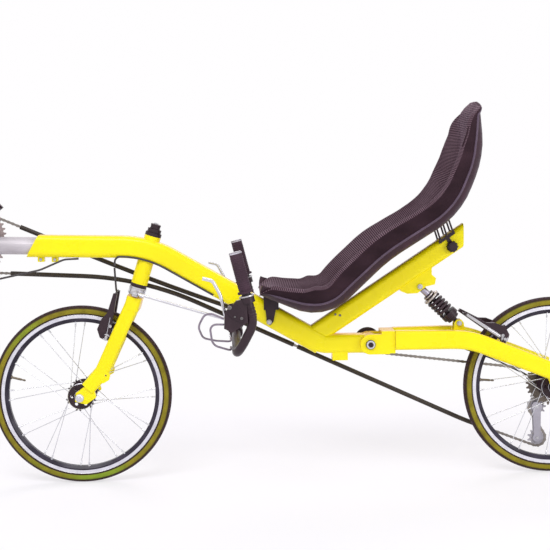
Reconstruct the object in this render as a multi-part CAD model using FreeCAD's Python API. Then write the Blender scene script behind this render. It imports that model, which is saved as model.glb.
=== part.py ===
import FreeCAD, Part
import math
import os

# Recumbent bicycle with short wheelbase, rear suspension and under-seat steering.
# Millimetres. +X points rearwards, +Y to the rider's right, +Z up.  Everything is laid out from
# the front wheel's contact point with the ground; save() then moves it so that the origin is
# the rider's place on the seat.

V = FreeCAD.Vector
SIDE = V(0, 1, 0)
UP = V(0, 0, 1)

# ---------------------------------------------------------------- driving dimensions
WHEELBASE = 1225.0
RIM_SEAT_R = 203.0            # bead seat radius of a 406 rim
TYRE_WIDTH = 28.0
RIM_FLANGE = 5.5
RIM_DEPTH = 19.5
RIM_WIDTH = 21.0
RIM_WALL = 2.5
SPOKE_PAIRS = 12
SPOKE_R = 1.0
SPOKE_OFFSET = 27.0           # how far a spoke's line passes from the hub's axis
PAIR_HALF_ANGLE = 3.5
AXLE_R = 5.0
FLANGE_R = 34.0
FLANGE_Y = 34.0               # the hub flanges' middles, from the wheel's middle
DRIVE_FLANGE_Y = 17.0
WINDOW_R = 4.5                # the flanges' round windows and the ring that they lie on
WINDOW_RING = 23.0
FREEHUB_R = 16.0
RUNNING = 0.05                # radial clearance of everything that turns on a shaft
GAP = 0.3                     # clearance between pieces that lie on each other
SEAT_GAP = 0.3

TYRE_R = RIM_SEAT_R + TYRE_WIDTH
FRONT_HUB = V(0, 0, TYRE_R)
REAR_HUB = V(WHEELBASE, 0, TYRE_R)

HEAD_TILT = 17.3              # steering axis, degrees back from the vertical
FORK_RAKE = 62.0
FORK_SPAN = 100.0             # between the front dropouts
REAR_SPAN = 135.0
CROWN_TOP = TYRE_R + 54       # heights along the steering axis, from level with the hub
CROWN_DEPTH = 34.0
LINK_PLANE = CROWN_TOP + 12   # plane of the drag link, along the steering axis
HEAD_LOW = CROWN_TOP + 33
HEAD_HIGH = CROWN_TOP + 161
HEAD_TUBE_R = 21.0
LINK_ARM = 50.0
BAR_AXIS_GAP = 270.0          # from the steering axis back to the handlebar's pivot
STEERER_R = 14.2
TILT = math.radians(HEAD_TILT)
AXIS = V(math.sin(TILT), 0, math.cos(TILT))
BACK = V(math.cos(TILT), 0, -math.sin(TILT))
FOOT = FRONT_HUB + BACK * FORK_RAKE
CROWN = FOOT + AXIS * CROWN_TOP     # the frame's points are measured from here

BEAM_DEPTH = 57.0
BEAM_WIDTH = 50.0
BEAM_ROUND = 15.0
TAIL_DEPTH = 50.0
BOOM_R = 22.5
BOOM_SLOPE = 1.5
BOOM_INSIDE = 188.0           # length of boom inside the beam
BEAM_FRONT = CROWN + V(-280, 0, 134.4)
BEAM_BEND = CROWN + V(35, 0, 126.1)
BEAM_TAIL = CROWN + V(476, 0, -132.5)
PIVOT = CROWN + V(603.5, 0, -133.7)
PIVOT_R = 26.0
PIVOT_PIN_R = 7.5
IDLER_PIN_R = 5.4
STAND_BORE = CROWN + V(526, 0, -176)
MAST_DEPTH = 52.0
MAST_WIDTH = 41.0
MAST_FOOT = CROWN + V(440.5, 0, -123)
MAST_HEAD = CROWN + V(866, 0, 154.8)
MAST_END = 18.0               # how far before its head the mast is cut off upright

BB = CROWN + V(-445, 0, 151.3)      # centre of the bottom bracket
BB_WIDTH = 68.0
POST_BACK = 52.0              # the front derailleur's post, behind the bottom bracket
POST_R = 14.3
BB_SHELL_R = 20.5
BB_CUP_R = 17.0
SPINDLE_R = 8.5
CRANK = 170.0
CRANK_THICK = 14.0
LEFT_CRANK_Y = 60.0           # inner faces of the crank arms
PEDAL_PIN_R = 6.9
PEDAL_GAP = 6.0               # between crank arm and pedal
PEDAL_WIDTH = 84.0
PEDAL_LENGTH = 88.0
CHAINLINE = 48.0
RING_STEP = 6.0
PITCH = 12.7
RING_TEETH = (30, 42, 52)
RING_INNER = (34.0, 52.0, 52.0)
RING_HALF = 1.1
COG_TEETH = (28, 24, 21, 18, 16, 14, 13, 12)
COG_STEP = 4.5
DRIVE_COG = 5
IDLER_TEETH = 15
IDLER_GUARD_R = 35.0
JOCKEY_TEETH = 11
JOCKEY_PIN_R = 3.5
UPPER_JOCKEY = REAR_HUB + V(-25, 0, -68)
LOWER_JOCKEY = REAR_HUB + V(-24, 0, -152)
RETURN_BEND_R = 800.0         # the guide tubes' bends and the centres of those bends
RETURN_BEND = CROWN + V(-184, 0, -749.2)
RETURN_SAG_R = 900.0
RETURN_SAG = LOWER_JOCKEY + V(155.6, 0, 881)
DRIVE_SAG_R = 6500.0
DRIVE_SAG = CROWN + V(2448, 0, 6074.5)
CHAIN_HALF = 3.9
CHAIN_SLOT = 2.8
CHAIN_PLATE = 1.3
TUBE_R = 6.0
TUBE_BORE = 5.2

BAR_R = 11.1
BAR_TOP = CROWN + V(261, 0, 121.3)
BAR_ELBOW = CROWN + V(302, 0, -44.7)
BAR_LOW = CROWN + V(260, 0, -123.7)
BAR_MIDDLE = CROWN + V(258, 0, -98.7)
BAR_HALF = 255.0
BAR_CENTRE_HALF = 52.0
GRIP_R = 15.0
GRIP_LENGTH = 96.0

SHOCK_TOP = CROWN + V(735, 0, 11.8)
SHOCK_FOOT = PIVOT + V(233.5, 0, 48.4)
SHOCK_EYE_R = 9.0
SHOCK_EYE_HALF = 8.0
LUG_HALF = 14.0
SPRING_R = 18.5
SPRING_WIRE = 4.0
SPRING_TURNS = 4.5
SPRING_START = 46.0           # distances from the shock's upper eye
SPRING_END = 102.0

ARM_WIDTH = 24.0
ARM_START_DEPTH = 51.0
ARM_END_DEPTH = 44.0
ARM_START = PIVOT + V(64.5, 33, 10)
ARM_KNEE = PIVOT + V(252.5, 52, 11)
ARM_END = REAR_HUB + V(7, 80, 39.5)

SEAT_PATH = (CROWN + V(318, 0, 5.3), CROWN + V(484, 0, -64.7), CROWN + V(643, 0, 84.3),
             CROWN + V(827, 0, 198.3),
             CROWN + V(888, 0, 345.3), CROWN + V(878, 0, 483.3))
SEAT_BENDS = (130.0, 400.0, 220.0, 250.0)
SHELL = 3.5
PAD = 24.0
RIDER = CROWN + V(468, 0, -8.7)     # where the rider sits, just above the cushion's lowest line


# ---------------------------------------------------------------- small helpers
def pitch_radius(teeth):
    return PITCH / (2 * math.sin(math.pi / teeth))


def on_axis(height, back=0.0, side=0.0):
    """A point given by its height along the steering axis and its offsets from that axis."""
    return FOOT + AXIS * height + BACK * back + SIDE * side


def rod(start, end, radius):
    return Part.makeCylinder(radius, (end - start).Length, start, end - start)


def pipe(start, end, radius, bore):
    return rod(start, end, radius).cut(rod(start, end, bore))


def block(low, high):
    size = high - low
    return Part.makeBox(size.x, size.y, size.z, low)


def across(centre, radius, low, high):
    """A round bar that lies along Y."""
    return Part.makeCylinder(radius, high - low, V(centre.x, centre.y + low, centre.z), SIDE)


def plate(points, low, high):
    """A flat plate cut to an outline in the XZ plane, from low to high across the bicycle."""
    corners = [V(p.x, low, p.z) for p in points]
    face = Part.Face(Part.makePolygon(corners + corners[:1]))
    return face.extrude(V(0, high - low, 0))


def mirrored(shape):
    return shape.mirror(V(0, 0, 0), SIDE)


def fused(shapes):
    return shapes[0].multiFuse(shapes[1:]).removeSplitter()


def revolved(profile, centre):
    """A closed profile of (radius, y) corners turned about the Y axis through a centre."""
    corners = [V(centre.x, centre.y + y, centre.z + radius) for radius, y in profile]
    face = Part.Face(Part.makePolygon(corners + corners[:1]))
    return face.revolve(centre, SIDE, 360)


def rounded_path(points, radii):
    """Straight runs through the points, joined by tangent arcs of the given radii."""
    edges = []
    start = points[0]
    for before, corner, after, radius in zip(points, points[1:], points[2:], radii):
        into = (corner - before).normalize()
        out = (after - corner).normalize()
        turn = math.acos(max(-1.0, min(1.0, into.dot(out))))
        reach = radius * math.tan(turn / 2)
        arc_start = corner - into * reach
        arc_end = corner + out * reach
        bisector = (out - into).normalize()
        middle = corner + bisector * (radius / math.cos(turn / 2) - radius)
        edges.append(Part.LineSegment(start, arc_start).toShape())
        edges.append(Part.Arc(arc_start, middle, arc_end).toShape())
        start = arc_end
    edges.append(Part.LineSegment(start, points[-1]).toShape())
    return Part.Wire(edges)


def rounded_section(centre, along, side, width, depth, corner):
    """A rectangle with round corners, width along side and depth across it."""
    along = V(along).normalize()
    over = side.cross(along).normalize()
    flat = along.cross(over).normalize()
    half_w = width / 2
    half_d = depth / 2
    edges = []
    quarters = ((1, 1), (-1, 1), (-1, -1), (1, -1))
    for index, (a, b) in enumerate(quarters):
        middle = centre + flat * (a * (half_w - corner)) + over * (b * (half_d - corner))
        first = middle + (flat * a if a * b > 0 else over * b) * corner
        last = middle + (over * b if a * b > 0 else flat * a) * corner
        bulge = middle + (flat * a + over * b) * (corner * math.sqrt(0.5))
        edges.append(Part.Arc(first, bulge, last).toShape())
        c, d = quarters[(index + 1) % 4]
        joint = centre + flat * (c * (half_w - corner)) + over * (d * (half_d - corner))
        following = joint + (flat * c if c * d > 0 else over * d) * corner
        edges.append(Part.LineSegment(last, following).toShape())
    return Part.Wire(edges)


def swept(path, section, side=SIDE):
    maker = Part.BRepOffsetAPI.MakePipeShell(path)
    maker.setBiNormalMode(side)
    maker.add(section, False, False)
    maker.build()
    maker.makeSolid()
    return maker.shape()


def spot_on(edges, distance):
    """Place and direction at a distance along joined edges."""
    left = distance
    for edge in edges:
        if left <= edge.Length + 1e-6:
            break
        left -= edge.Length
    spot = edge.FirstParameter + (edge.LastParameter - edge.FirstParameter) * min(1.0, left / edge.Length)
    return edge.valueAt(spot), edge.tangentAt(spot)


def box_tube(points, radii, width, depth, corner, side=SIDE):
    section = rounded_section(points[0], points[1] - points[0], side, width, depth, corner)
    return swept(rounded_path(points, radii), section, side)


def tapered_tube(points, radius, width, first_depth, last_depth, corner):
    """A bent box tube whose depth changes evenly from one end to the other."""
    path = rounded_path(points, [radius])
    steps = 12
    sections = []
    for step in range(steps + 1):
        share = step / steps
        place, along = spot_on(path.Edges, share * path.Length)
        depth = first_depth + (last_depth - first_depth) * share
        sections.append(rounded_section(place, along, SIDE, width, depth, corner))
    return Part.makeLoft(sections, True, False)


def round_tube(points, radii, radius):
    path = rounded_path(points, radii)
    circle = Part.Wire(Part.Circle(points[0], points[1] - points[0], radius).toShape())
    return path.makePipeShell([circle], True, False)


def save(name, shape):
    moved = shape.copy()
    moved.translate(V(0, 0, 0) - RIDER)
    moved.exportStep("parts/" + name + ".step")


# ---------------------------------------------------------------- wheels
def tyre(hub):
    bead = RIM_WIDTH / 2 - RIM_WALL - GAP
    centre_r = TYRE_R - TYRE_WIDTH / 2
    low_r = RIM_SEAT_R + RIM_FLANGE + 2 * GAP
    shoulder = math.sqrt((TYRE_WIDTH / 2) ** 2 - (centre_r - low_r) ** 2)

    def at(radius, y):
        return V(hub.x, y, hub.z + radius)

    arc = Part.Arc(at(low_r, -shoulder), at(TYRE_R, 0), at(low_r, shoulder)).toShape()
    inside = [at(low_r, shoulder), at(low_r, bead), at(RIM_SEAT_R + GAP, bead),
              at(RIM_SEAT_R + GAP, -bead), at(low_r, -bead), at(low_r, -shoulder)]
    outline = Part.Wire([arc] + Part.makePolygon(inside).Edges)
    return Part.Face(outline).revolve(hub, SIDE, 360)


def rim(hub):
    top = RIM_SEAT_R + RIM_FLANGE
    low = top - RIM_DEPTH
    half = RIM_WIDTH / 2
    well = half - RIM_WALL
    profile = [(top, -half), (top, -well), (RIM_SEAT_R, -well), (RIM_SEAT_R, well), (top, well),
               (top, half), (low + 7, half), (low, half - 4.5), (low, 4.5 - half), (low + 7, -half)]
    return revolved(profile, hub)


def spokes(hub, left_y, right_y):
    """Pairs of spokes; in each pair, one from the left flange and one from the right."""
    hub_r = FLANGE_R + SPOKE_R * SPOKE_OFFSET / FLANGE_R + GAP
    rim_r = RIM_SEAT_R + RIM_FLANGE - RIM_DEPTH - GAP
    swing = math.acos(SPOKE_OFFSET / rim_r) - math.acos(SPOKE_OFFSET / hub_r)
    wires = []
    for pair in range(SPOKE_PAIRS):
        lean = 1 if pair % 2 else -1
        middle = math.radians(90 + pair * 360 / SPOKE_PAIRS)
        for flange_y, rim_y, turn in ((left_y, -3.5, 1), (right_y, 3.5, -1)):
            rim_angle = middle + turn * math.radians(PAIR_HALF_ANGLE)
            hub_angle = rim_angle - lean * swing
            start = V(hub.x + hub_r * math.cos(hub_angle), flange_y + 1.6 * lean,
                      hub.z + hub_r * math.sin(hub_angle))
            end = V(hub.x + rim_r * math.cos(rim_angle), rim_y, hub.z + rim_r * math.sin(rim_angle))
            wires.append(rod(start, end, SPOKE_R))
    return Part.makeCompound(wires)


def hub_shell(hub, left_y, right_y, left_end, right_end, drive_r=0.0):
    bore = AXLE_R + RUNNING
    barrel = 14.0
    end_r = 11.0
    half_flange = 2.7
    right_r = drive_r or end_r
    profile = [(bore, left_end), (end_r, left_end), (barrel, left_y - half_flange - 4),
               (barrel, left_y - half_flange), (FLANGE_R, left_y - half_flange),
               (FLANGE_R, left_y + half_flange),
               (barrel + 3, left_y + half_flange), (barrel, left_y + half_flange + 5),
               (barrel, right_y - half_flange - 5), (barrel + 3, right_y - half_flange),
               (FLANGE_R, right_y - half_flange), (FLANGE_R, right_y + half_flange),
               (right_r, right_y + half_flange), (right_r, right_end), (bore, right_end)]
    shell = revolved(profile, hub)
    windows = []
    for index in range(6):
        angle = math.radians(60 * index)
        centre = V(hub.x + WINDOW_RING * math.cos(angle), 0, hub.z + WINDOW_RING * math.sin(angle))
        windows.append(across(centre, WINDOW_R, left_y - 4, left_y + 4))
    return shell.cut(Part.makeCompound(windows))


def axle(hub, span, seat):
    """An axle with a locknut at each side and its ends, with their nuts, in the dropouts."""
    half = span / 2
    pieces = [across(hub, AXLE_R, -half - seat, half + seat)]
    for low, high in ((-half + GAP, -half + 3.5), (half - 3.5, half - GAP)):
        pieces.append(across(hub, 8.5, low, high))
    for low, high in ((-half - seat - 7, -half - seat), (half + seat, half + seat + 7)):
        pieces.append(across(hub, 9.5, low, high))
    return fused(pieces)


def toothed(centre, teeth, low, high, inner_r):
    """A sprocket plate: four corners to a tooth, between the root and the tip."""
    pitch_r = pitch_radius(teeth)
    root = pitch_r - 3.6
    tip = pitch_r + 3.0
    corners = []
    for tooth in range(teeth):
        for share, radius in ((-0.32, root), (-0.12, tip), (0.12, tip), (0.32, root)):
            angle = 2 * math.pi * (tooth + share) / teeth
            corners.append(V(centre.x + radius * math.cos(angle), 0, centre.z + radius * math.sin(angle)))
    body = plate(corners, low, high)
    return body.cut(across(centre, inner_r, low - 1, high + 1))


def cassette():
    first_y = CHAINLINE - DRIVE_COG * COG_STEP
    cogs = []
    for index, teeth in enumerate(COG_TEETH):
        y = first_y + index * COG_STEP
        cogs.append(toothed(REAR_HUB, teeth, y - 0.9, y + 0.9, FREEHUB_R + GAP))
    low = first_y - 0.9
    high = first_y + (len(COG_TEETH) - 1) * COG_STEP + 0.9
    sleeve = across(REAR_HUB, FREEHUB_R + 3.5, low, high)
    sleeve = sleeve.cut(across(REAR_HUB, FREEHUB_R + GAP, low - 1, high + 1))
    return fused(cogs + [sleeve])


# ---------------------------------------------------------------- main frame
def boom_direction():
    return V(math.cos(math.radians(BOOM_SLOPE)), 0, -math.sin(math.radians(BOOM_SLOPE)))


def main_beam():
    front = box_tube([BEAM_FRONT, BEAM_BEND, BEAM_TAIL], [260], BEAM_WIDTH, BEAM_DEPTH, BEAM_ROUND)
    tail_start = BEAM_TAIL - V(34, 0, -20)
    tail = box_tube([tail_start, BEAM_TAIL, PIVOT], [60], BEAM_WIDTH, TAIL_DEPTH, BEAM_ROUND)
    head = rod(on_axis(HEAD_LOW), on_axis(HEAD_HIGH), HEAD_TUBE_R)
    barrel = across(PIVOT, PIVOT_R, -BEAM_WIDTH / 2, BEAM_WIDTH / 2)
    stand_plate = block(STAND_BORE + V(-20, -19, 0), STAND_BORE + V(20, 19, 23))
    slope = boom_direction()
    ears = []
    for along in (41, 76.5):
        foot = BEAM_FRONT + slope * along - V(0, 0, BEAM_DEPTH / 2)
        ears.append(block(foot + V(-8, -9, -12), foot + V(8, 9, 4)))
    housing = rod(bar_axis(LINK_PLANE + 12), bar_axis(LINK_PLANE + 46), 17)
    body = fused([front, tail, head, barrel, stand_plate, housing] + ears)
    # the slanted front end, the boom's socket and the clamp slot
    slant = plate([BEAM_FRONT + V(-40, 0, 60), BEAM_FRONT + V(56, 0, 60), BEAM_FRONT + V(-12, 0, -60),
                   BEAM_FRONT + V(-40, 0, -60)], -60, 60)
    socket = rod(BEAM_FRONT - slope * 20, BEAM_FRONT + slope * (BOOM_INSIDE + 20), BOOM_R + GAP)
    slot = block(BEAM_FRONT + V(-30, -1.5, -60), BEAM_FRONT + V(100, 1.5, -10))
    steerer_bore = rod(on_axis(HEAD_LOW - 10), on_axis(HEAD_HIGH + 10), STEERER_R + RUNNING)
    pin_bore = across(PIVOT, PIVOT_PIN_R + RUNNING, -40, 40)
    stand_bore = rod(STAND_BORE - UP * 19, STAND_BORE + UP * 16, 5.0)
    bar_bore = rod(bar_axis(LINK_PLANE - 10), bar_axis(LINK_PLANE + 40), BAR_SPINDLE_R + RUNNING)
    for cutter in (slant, socket, slot, steerer_bore, pin_bore, stand_bore, bar_bore):
        body = body.cut(cutter)
    return body.removeSplitter()


def seat_mast(beam):
    tube = box_tube([MAST_FOOT, MAST_HEAD], [], MAST_WIDTH, MAST_DEPTH, 14)
    end = block(MAST_HEAD + V(-MAST_END, -60, -140), MAST_HEAD + V(62, 60, 120))
    lug_line = []
    for x, z in ((-53, 8), (-50, -11), (-33, -18), (-6, -17), (3, -10), (16, 0), (39, 5), (42, 21),
                 (31, 31), (31, 47), (46, 71)):
        lug_line.append(SHOCK_TOP + V(x, 0, z))
    lug = plate(lug_line, -LUG_HALF, LUG_HALF)
    eye_room = across(SHOCK_TOP, 22, -SHOCK_EYE_HALF - 1, SHOCK_EYE_HALF + 1)
    bolt = across(SHOCK_TOP, 5 + GAP, -20, 20)
    mast = fused([tube.cut(end), lug.cut(eye_room).cut(bolt)])
    return mast.cut(beam)


def boom():
    slope = boom_direction()
    rear = BEAM_FRONT + slope * BOOM_INSIDE
    front = BEAM_FRONT - slope * (BEAM_FRONT.x - BB.x)
    tube = rod(front, rear, BOOM_R)
    shell = across(BB, BB_SHELL_R, -BB_WIDTH / 2, BB_WIDTH / 2)
    post = rod(BB + V(POST_BACK, 0, -15), BB + V(POST_BACK, 0, 100), POST_R)
    body = fused([tube, shell, post])
    return body.cut(across(BB, BB_CUP_R + GAP / 3, -50, 50))


def bottom_bracket():
    core = across(BB, BB_CUP_R, -BB_WIDTH / 2, BB_WIDTH / 2)
    rims = [across(BB, BB_SHELL_R - 1, -BB_WIDTH / 2 - 3, -BB_WIDTH / 2 - GAP / 3),
            across(BB, BB_SHELL_R - 1, BB_WIDTH / 2 + GAP / 3, BB_WIDTH / 2 + 3)]
    core = fused([core, across(BB, BB_CUP_R, -BB_WIDTH / 2 - 3, BB_WIDTH / 2 + 3)] + rims)
    return core.cut(across(BB, SPINDLE_R + RUNNING, -60, 60))


def headset():
    low = pipe(on_axis(HEAD_LOW - 9), on_axis(HEAD_LOW - GAP / 3), HEAD_TUBE_R, STEERER_R + RUNNING)
    high = pipe(on_axis(HEAD_HIGH + GAP / 3), on_axis(HEAD_HIGH + 9), HEAD_TUBE_R, STEERER_R + RUNNING)
    return Part.makeCompound([low, high])


# ---------------------------------------------------------------- swing arm and shock
def swing_arm_yoke():
    ear_low = BEAM_WIDTH / 2 + GAP
    ear_high = ear_low + 11
    ears = []
    for low, high in ((ear_low, ear_high), (-ear_high, -ear_low)):
        cheek = block(V(PIVOT.x, low, PIVOT.z - PIVOT_R), V(PIVOT.x + 50, high, PIVOT.z + PIVOT_R))
        ears.append(fused([across(PIVOT, PIVOT_R, low, high), cheek]))
    block_x = PIVOT.x + PIVOT_R + 3
    cross = block(V(block_x, -ear_high, PIVOT.z - PIVOT_R + 2),
                  V(ARM_START.x - GAP, ear_high, PIVOT.z + PIVOT_R + 8))
    body = fused(ears + [cross])
    return body.cut(across(PIVOT, PIVOT_PIN_R + GAP / 3, -60, 60))


def swing_arm_leg():
    """The right leg with its dropout; the left one is its mirror image."""
    leg = tapered_tube([ARM_START, ARM_KNEE, ARM_END], 200, ARM_WIDTH, ARM_START_DEPTH, ARM_END_DEPTH, 9)
    inner = REAR_SPAN / 2
    outline = []
    for x, z in ((-35, 54), (21, 34), (18, 1), (11, -13), (-11, -13), (-17, 5)):
        outline.append(REAR_HUB + V(x, 0, z))
    dropout = plate(outline, inner, inner + 7)
    start_cut = block(ARM_START + V(-60, -140, -120), ARM_START + V(0, 70, 120))
    body = fused([leg, dropout]).cut(start_cut)
    return body.cut(across(REAR_HUB, AXLE_R + GAP / 3, 0, 120))


def swing_arm_bridge(leg):
    tie = block(SHOCK_FOOT + V(-13, -54, -47), SHOCK_FOOT + V(13, 54, -18))
    ear_line = []
    for x, z in ((-14, -20), (15, -20), (12, 1), (6, 9), (-6, 9), (-12, 1)):
        ear_line.append(SHOCK_FOOT + V(x, 0, z))
    inner = SHOCK_EYE_HALF + 1
    ears = [plate(ear_line, inner, LUG_HALF), plate(ear_line, -LUG_HALF, -inner)]
    body = fused([tie] + ears)
    body = body.cut(across(SHOCK_FOOT, 5 + GAP / 3, -30, 30))
    return body.cut(leg).cut(mirrored(leg))


def pivot_axle():
    """Pin with a head on the left; on the right it goes on to carry the idler."""
    half = BEAM_WIDTH / 2 + GAP + 11
    pieces = [across(PIVOT, PIVOT_PIN_R, -half - 1, half + 1)]
    pieces.append(across(PIVOT, 12, -half - 5, -half - GAP / 3))
    pieces.append(across(PIVOT, 12, half + GAP / 3, half + 5))
    pieces.append(across(PIVOT, IDLER_PIN_R, half, CHAINLINE + 9))
    pieces.append(across(PIVOT, 9, CHAINLINE + 5 + GAP, CHAINLINE + 9))
    return fused(pieces)


def shock_point(distance, side=0.0):
    along = (SHOCK_FOOT - SHOCK_TOP).normalize()
    return SHOCK_TOP + along * distance + SIDE * side


def shock_body():
    """Upper eye and neck, adjusting ring, rod inside the spring, lower collar and eye, and both bolts."""
    length = (SHOCK_FOOT - SHOCK_TOP).Length
    head_low = LUG_HALF + GAP
    pieces = [across(SHOCK_TOP, SHOCK_EYE_R, -SHOCK_EYE_HALF, SHOCK_EYE_HALF),
              rod(SHOCK_TOP, shock_point(34), 7.6),
              rod(shock_point(SPRING_START - 14), shock_point(SPRING_START), 15),
              rod(shock_point(SPRING_START - 4), shock_point(SPRING_START), 21.5),
              rod(shock_point(SPRING_START - 1), shock_point(length - 6), 6),
              rod(shock_point(SPRING_END), shock_point(SPRING_END + 14), 21.5),
              rod(shock_point(SPRING_END + 13), shock_point(SPRING_END + 22), 17),
              across(SHOCK_FOOT, SHOCK_EYE_R, -SHOCK_EYE_HALF, SHOCK_EYE_HALF)]
    for centre in (SHOCK_TOP, SHOCK_FOOT):
        pieces.append(across(centre, 5, -head_low - 1, head_low + 1))
        pieces.append(across(centre, 6.5, -head_low - 4, -head_low))
        pieces.append(across(centre, 6.5, head_low, head_low + 4))
    return fused(pieces)


def shock_spring():
    """Coil spring as a faceted helix between the two collars."""
    start = SPRING_START + SPRING_WIRE + GAP
    end = SPRING_END - SPRING_WIRE - GAP
    steps = 14
    along = (SHOCK_FOOT - SHOCK_TOP).normalize()
    over = along.cross(SIDE).normalize()
    count = int(SPRING_TURNS * steps)
    corners = []
    for step in range(count + 1):
        angle = 2 * math.pi * step / steps
        out = over * math.cos(angle) + SIDE * math.sin(angle)
        corners.append(shock_point(start + (end - start) * step / count) + out * (SPRING_R - 0.5))
    path = Part.makePolygon(corners)
    circle = Part.Wire(Part.Circle(corners[0], corners[1] - corners[0], SPRING_WIRE).toShape())
    return path.makePipeShell([circle], True, False, 1)


# ---------------------------------------------------------------- seat
# columns: share of the path, half width of the flat bottom, wall angle, wall length
SEAT_SECTIONS = (
    (0.00, 86, 44, 20),
    (0.16, 88, 52, 33),
    (0.34, 84, 58, 46),
    (0.52, 78, 60, 42),
    (0.70, 82, 60, 48),
    (0.86, 76, 60, 42),
    (1.00, 66, 44, 18),
)
SEAT_STEPS = 32
SEAT_SPARE = 2
SEAT_ROUND = 46.0
SEAT_TOP_ROUND = 128.0
SEAT_FRONT_ROUND = 52.0
SEAT_HALF = 160.0
SEAT_TOP_HALF = 146.0


def seat_column(share):
    """Flat half width, wall angle and wall length at a share of the path, eased between the rows."""
    for before, after in zip(SEAT_SECTIONS, SEAT_SECTIONS[1:]):
        if share <= after[0]:
            part = (share - before[0]) / (after[0] - before[0])
            eased = part * part * (3 - 2 * part)
            return [a + (b - a) * eased for a, b in zip(before[1:], after[1:])]
    return SEAT_SECTIONS[-1][1:]


def seat_frames():
    """Place, direction and column values along the path, with SEAT_SPARE steps past each end to trim."""
    path = rounded_path(SEAT_PATH, SEAT_BENDS)
    frames = []
    for step in range(-SEAT_SPARE, SEAT_STEPS + SEAT_SPARE + 1):
        inside = min(max(step, 0), SEAT_STEPS)
        place, along = spot_on(path.Edges, inside / SEAT_STEPS * path.Length)
        place = place + along * ((step - inside) / SEAT_STEPS * path.Length)
        frames.append((place, along, *seat_column(inside / SEAT_STEPS)))
    return frames


def bowl_edge(frame, inset, extra=0.0):
    """Points of one offset line of the bowl's section, from its left rim to its right rim."""
    place, along, flat, angle, wall = frame
    over = along.cross(SIDE)
    over = over if over.z > 0 or over.x < 0 else over * -1
    bend = math.radians(angle)
    radius = SEAT_ROUND - inset

    def at(u, v):
        return place + SIDE * u + over * v

    points = []
    for sign in (-1, 1):
        centre_v = SEAT_ROUND
        arc_end = (flat + radius * math.sin(bend), centre_v - radius * math.cos(bend))
        rim_end = (arc_end[0] + (wall + extra) * math.cos(bend),
                   arc_end[1] + (wall + extra) * math.sin(bend))
        middle = (flat + radius * math.sin(bend / 2), centre_v - radius * math.cos(bend / 2))
        group = [at(sign * rim_end[0], rim_end[1]), at(sign * arc_end[0], arc_end[1]),
                 at(sign * middle[0], middle[1]), at(sign * flat, inset)]
        points.append(group if sign < 0 else group[::-1])
    return points[0] + points[1]


def bowl_section(frame, outer, inner, extra=0.0):
    a = bowl_edge(frame, outer, extra)
    b = bowl_edge(frame, inner, extra)

    def line(p, q):
        return Part.LineSegment(p, q).toShape()

    def arc(p, m, q):
        return Part.Arc(p, m, q).toShape()

    edges = [line(a[0], a[1]), arc(a[1], a[2], a[3]), line(a[3], a[4]), arc(a[4], a[5], a[6]),
             line(a[6], a[7]), line(a[7], b[7]),
             line(b[7], b[6]), arc(b[6], b[5], b[4]), line(b[4], b[3]), arc(b[3], b[2], b[1]),
             line(b[1], b[0]), line(b[0], a[0])]
    return Part.Wire(edges)


def rounded_end(centre, half, radius, along, way):
    """A prism with an outline that is straight below and rounded at its end, used to trim the seat."""
    reach = 700.0
    corner = half - radius
    tips = [centre - SIDE * half - along * radius, centre - SIDE * corner, centre + SIDE * corner,
            centre + SIDE * half - along * radius]
    bulge = radius * math.sqrt(0.5)
    left = tips[0] + SIDE * (radius - bulge) + along * bulge
    right = tips[3] - SIDE * (radius - bulge) + along * bulge
    edges = [Part.Arc(tips[0], left, tips[1]).toShape(), Part.LineSegment(tips[1], tips[2]).toShape(),
             Part.Arc(tips[2], right, tips[3]).toShape(),
             Part.makePolygon([tips[3], tips[3] - along * reach, tips[0] - along * reach, tips[0]])]
    face = Part.Face(Part.Wire([e for shape in edges for e in shape.Edges]))
    return face.extrude(way)


def seat_layer(outer, inner, extra=0.0, inset=0.0):
    sections = [bowl_section(frame, outer, inner, extra) for frame in seat_frames()]
    layer = Part.makeLoft(sections, True, True)
    half = SEAT_HALF - inset
    first = SEAT_PATH[0]
    last = SEAT_PATH[-1]
    top = rounded_end(V(first.x - 62, 0, last.z - 2 - inset), SEAT_TOP_HALF, SEAT_TOP_ROUND, UP,
                      V(900, 0, 0))
    front = rounded_end(V(first.x + 2 + inset, 0, first.z - 190), half, SEAT_FRONT_ROUND, V(-1, 0, 0),
                        V(0, 0, 900))
    return layer.common(top).common(front)


def seat_front_bracket():
    """A saddle under the seat whose cheeks reach down the beam's sides."""
    near = BEAM_WIDTH / 2
    corner = SEAT_PATH[0] + V(12, 0, 10)
    bolt_centre = corner + V(13, 0, -86)
    outline = []
    for x, z in ((0, 0), (38, 0), (34, -38), (24, -86), (16, -95), (7, -91)):
        outline.append(corner + V(x, 0, z))
    cheeks = [plate(outline, near + GAP, near + 5), plate(outline, -near - 5, -near - GAP)]
    top = block(corner + V(0, -near - 5, -55), corner + V(38, near + 5, 0))
    bolt = across(bolt_centre, 4, -near - 9, -near - 4)
    nut = across(bolt_centre, 4, near + 4, near + 9)
    return fused(cheeks + [top, bolt, nut]).cut(below_shell())


def below_shell():
    """Everything above the shell's underside, as a tool that trims what the seat rests on."""
    sections = []
    for frame in seat_frames():
        place, along = frame[0], frame[1]
        over = along.cross(SIDE)
        over = over if over.z > 0 or over.x < 0 else over * -1
        low = place - over * GAP
        corners = [low - SIDE * 120, low + SIDE * 120, low + SIDE * 120 + over * 90,
                   low - SIDE * 120 + over * 90]
        sections.append(Part.makePolygon(corners + corners[:1]))
    return Part.makeLoft(sections, True, True)


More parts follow.
